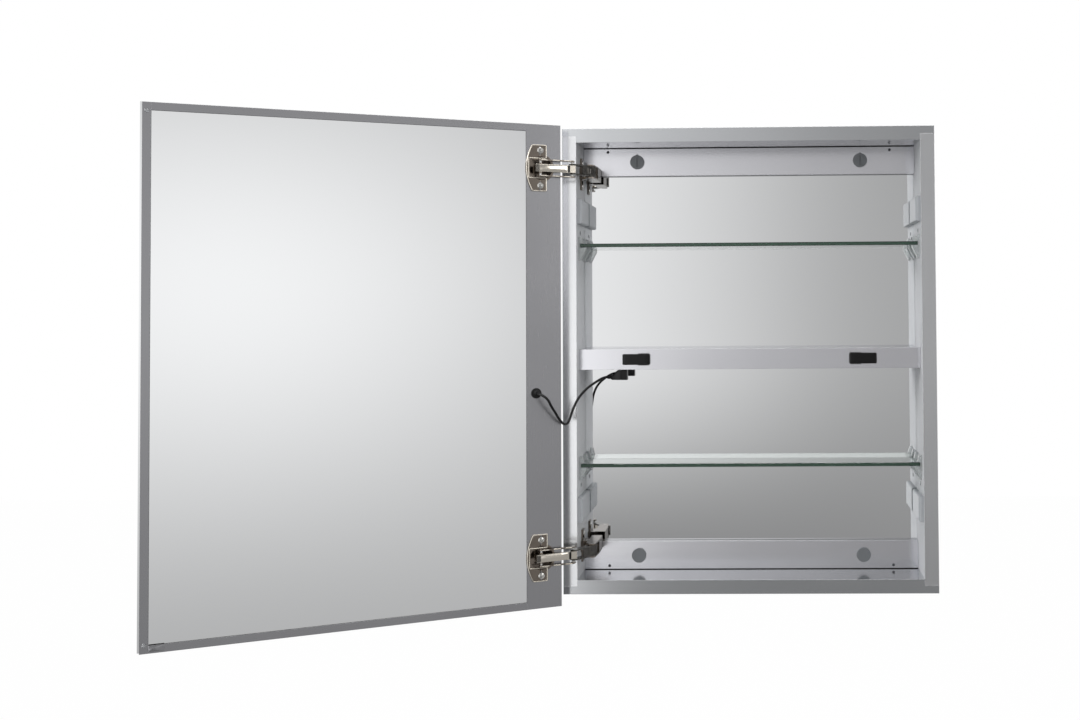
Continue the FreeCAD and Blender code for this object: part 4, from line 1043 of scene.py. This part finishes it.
@dataclass
class Studio:
    """Plain pale floor, white surroundings and soft lamps."""

    floor_height: float = -1.15
    floor_half: float = 6.0
    fill_level: float = 0.6
    wall_level: float = 0.3
    floor_colour: str = "#F2F2F2"
    camera_share: float = 0.985
    glows: tuple[Glow, ...] = (
        Glow(-30.0, 18.0, 42.0, 40.0, 41.5, 52.0, 0.66),
        Glow(-26.0, 13.0, 17.5, 0.0, 24.0, 45.0, 1.0),
        Glow(-18.0, 5.0, 9.5, -15.0, 8.0, 16.0, 1.3),
        Glow(80.0, 56.0, 66.0, 0.0, 90.0, 120.0, 0.2),
        Glow(28.0, 0.0, 27.0, 1.0, 0.0, 17.0, 0.53),
        Glow(0.0, 180.0, 190.0, 90.0, 20.0, 60.0, 0.5),
        Glow(0.0, 110.0, 80.0, 0.0, 90.0, 120.0, 0.5),
    )
    lamps: tuple[Lamp, ...] = (
        Lamp("key_box", (-1.7, -1.6, 1.5), 1.3, 22.0),
        Lamp("fill_box", (2.0, -1.2, 0.7), 1.2, 12.0),
        Lamp("top_box", (0.1, -0.3, 2.1), 1.4, 18.0),
    )

    def world(self) -> None:
        """Lights the room evenly; the camera sees white, and metal sees a grey wall with soft glows."""
        world = bpy.data.worlds.new("studio")
        world.use_nodes = True
        tree = world.node_tree
        tree.nodes.clear()
        coords = add_node(tree, "TexCoord")
        parts = add_node(tree, "SeparateXYZ", inputs={"Vector": coords.outputs["Generated"]})
        ahead = add_node(tree, "Math", {"operation": "MULTIPLY"}, {0: parts.outputs["Y"], 1: -1.0})
        sideways = add_node(tree, "Math", {"operation": "ARCTAN2"}, {0: parts.outputs["X"], 1: ahead})
        rise = add_node(tree, "Math", {"operation": "ARCSINE"}, {0: parts.outputs["Z"]})
        level: Any = self.wall_level
        for glow in self.glows:
            shares = []
            for angle, middle, inner, outer in (
                (sideways, glow.sideways, glow.inner_side, glow.outer_side),
                (rise, glow.up, glow.inner_up, glow.outer_up),
            ):
                off = add_node(tree, "Math", {"operation": "SUBTRACT"}, {0: angle, 1: math.radians(middle)})
                size = add_node(tree, "Math", {"operation": "ABSOLUTE"}, {0: off})
                shares.append(add_node(tree, "MapRange", {"interpolation_type": "SMOOTHSTEP"}, {
                    "Value": size, "From Min": math.radians(outer),
                    "From Max": math.radians(inner), "To Max": 1.0,
                }))
            both = add_node(tree, "Math", {"operation": "MULTIPLY"}, {0: shares[0], 1: shares[1]})
            level = add_node(tree, "Math", {"operation": "MULTIPLY_ADD"}, {
                0: both, 1: glow.level, 2: level,
            })
        mirrored = add_node(tree, "Background", inputs={"Color": level})
        even = add_node(tree, "Background", inputs={"Color": (1, 1, 1, 1), "Strength": self.fill_level})
        white = add_node(tree, "Background", inputs={"Color": (1, 1, 1, 1)})
        path = add_node(tree, "LightPath")
        lit = add_node(tree, "MixShader", inputs={0: path.outputs["Is Glossy Ray"], 1: even, 2: mirrored})
        seen = add_node(tree, "Math", {"operation": "MAXIMUM"}, {
            0: path.outputs["Is Camera Ray"], 1: path.outputs["Is Transmission Ray"],
        })
        mixed = add_node(tree, "MixShader", inputs={0: seen, 1: lit, 2: white})
        add_node(tree, "OutputWorld", inputs={"Surface": mixed})
        bpy.context.scene.world = world

    def floor(self) -> None:
        """Lays a level pale sheet under the cabinet, kept near white for the camera."""
        made, tree = new_material("pale_floor_paint")
        matt = add_node(tree, "BsdfDiffuse", inputs={"Color": linear(self.floor_colour)})
        bright = add_node(tree, "Emission", inputs={"Color": (1, 1, 1, 1), "Strength": 1.0})
        path = add_node(tree, "LightPath")
        share = add_node(tree, "Math", {"operation": "MULTIPLY"}, {
            0: path.outputs["Is Camera Ray"], 1: self.camera_share,
        })
        mixed = add_node(tree, "MixShader", inputs={0: share, 1: matt, 2: bright})
        add_node(tree, "OutputMaterial", inputs={"Surface": mixed})
        span = np.array([-1.0, 1.0]) * self.floor_half
        x, y = np.meshgrid(span, span)
        corners = np.stack([x, y, np.full_like(x, self.floor_height)], axis=-1).reshape(-1, 3)
        mesh = bpy.data.meshes.new("studio_floor")
        mesh.from_pydata(corners.tolist(), [], [(0, 1, 3, 2)])
        mesh.materials.append(made)
        sheet = bpy.data.objects.new("studio_floor", mesh)
        bpy.context.scene.collection.objects.link(sheet)
        sheet.visible_glossy = False

    def light(self) -> None:
        """Hangs the soft boxes, each turned to the cabinet's middle."""
        for lamp in self.lamps:
            data = bpy.data.lights.new(lamp.name, "AREA")
            data.size = lamp.side
            data.energy = lamp.power
            box = bpy.data.objects.new(lamp.name, data)
            box.location = lamp.place
            box.rotation_euler = (-Vector(lamp.place)).to_track_quat("-Z", "Y").to_euler()
            bpy.context.scene.collection.objects.link(box)

    def build(self) -> None:
        """Builds the room, its floor and its light."""
        self.world()
        self.floor()
        self.light()
        bpy.context.scene.view_settings.view_transform = "Standard"


@dataclass(frozen=True)
class PhotoCamera:
    """The camera of the photograph, found from the cabinet's corners in it."""

    focal_px: float = 1214.639
    centre_px: Pair = (741.22, 272.37)
    frame_px: Pair = (1080.0, 720.0)
    tilt: float = -0.0263
    pan: float = 0.0182
    roll: float = -0.0074
    place: Triple = (0.02003, -1.73643, 0.07483)
    sensor_mm: float = 36.0

    def turned(self) -> Matrix:
        """Gives the camera's axes in the cabinet's frame.

        Tilt, pan and roll are turns about the axes right, down and in, made in that order.

        Returns:
            A turn of three by three.
        """
        aim = (Matrix.Rotation(self.roll, 3, "Z") @ Matrix.Rotation(self.pan, 3, "Y")
               @ Matrix.Rotation(self.tilt, 3, "X"))
        to_right_down_in = Matrix(((1, 0, 0), (0, 0, -1), (0, 1, 0)))
        to_right_up_back = Matrix(((1, 0, 0), (0, -1, 0), (0, 0, -1)))
        return (to_right_up_back @ aim @ to_right_down_in).transposed()

    def build(self) -> None:
        """Sets up the camera; the shift is where the lens axis met the photograph."""
        wide, tall = self.frame_px
        data = bpy.data.cameras.new("photo_camera")
        data.sensor_fit = "HORIZONTAL"
        data.sensor_width = self.sensor_mm
        data.lens = self.focal_px / wide * self.sensor_mm
        data.shift_x = (wide / 2 - self.centre_px[0]) / wide
        data.shift_y = (self.centre_px[1] - tall / 2) / wide
        item = bpy.data.objects.new("photo_camera", data)
        item.matrix_world = Matrix.Translation(self.place) @ self.turned().to_4x4()
        bpy.context.scene.collection.objects.link(item)
        bpy.context.scene.camera = item


def main() -> None:
    """Builds and dresses the cabinet, then the studio and the camera."""
    logging.basicConfig(level=logging.INFO, format="%(message)s")
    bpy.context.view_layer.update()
    for group in (DoorCable(), Carcass(), WallFixings(), MiddleRail(), HingePair(), MirrorDoor()):
        group.build()
        group.dress()
    Shelving().dress()
    Studio().build()
    PhotoCamera().build()


if __name__ == "__main__":
    main()
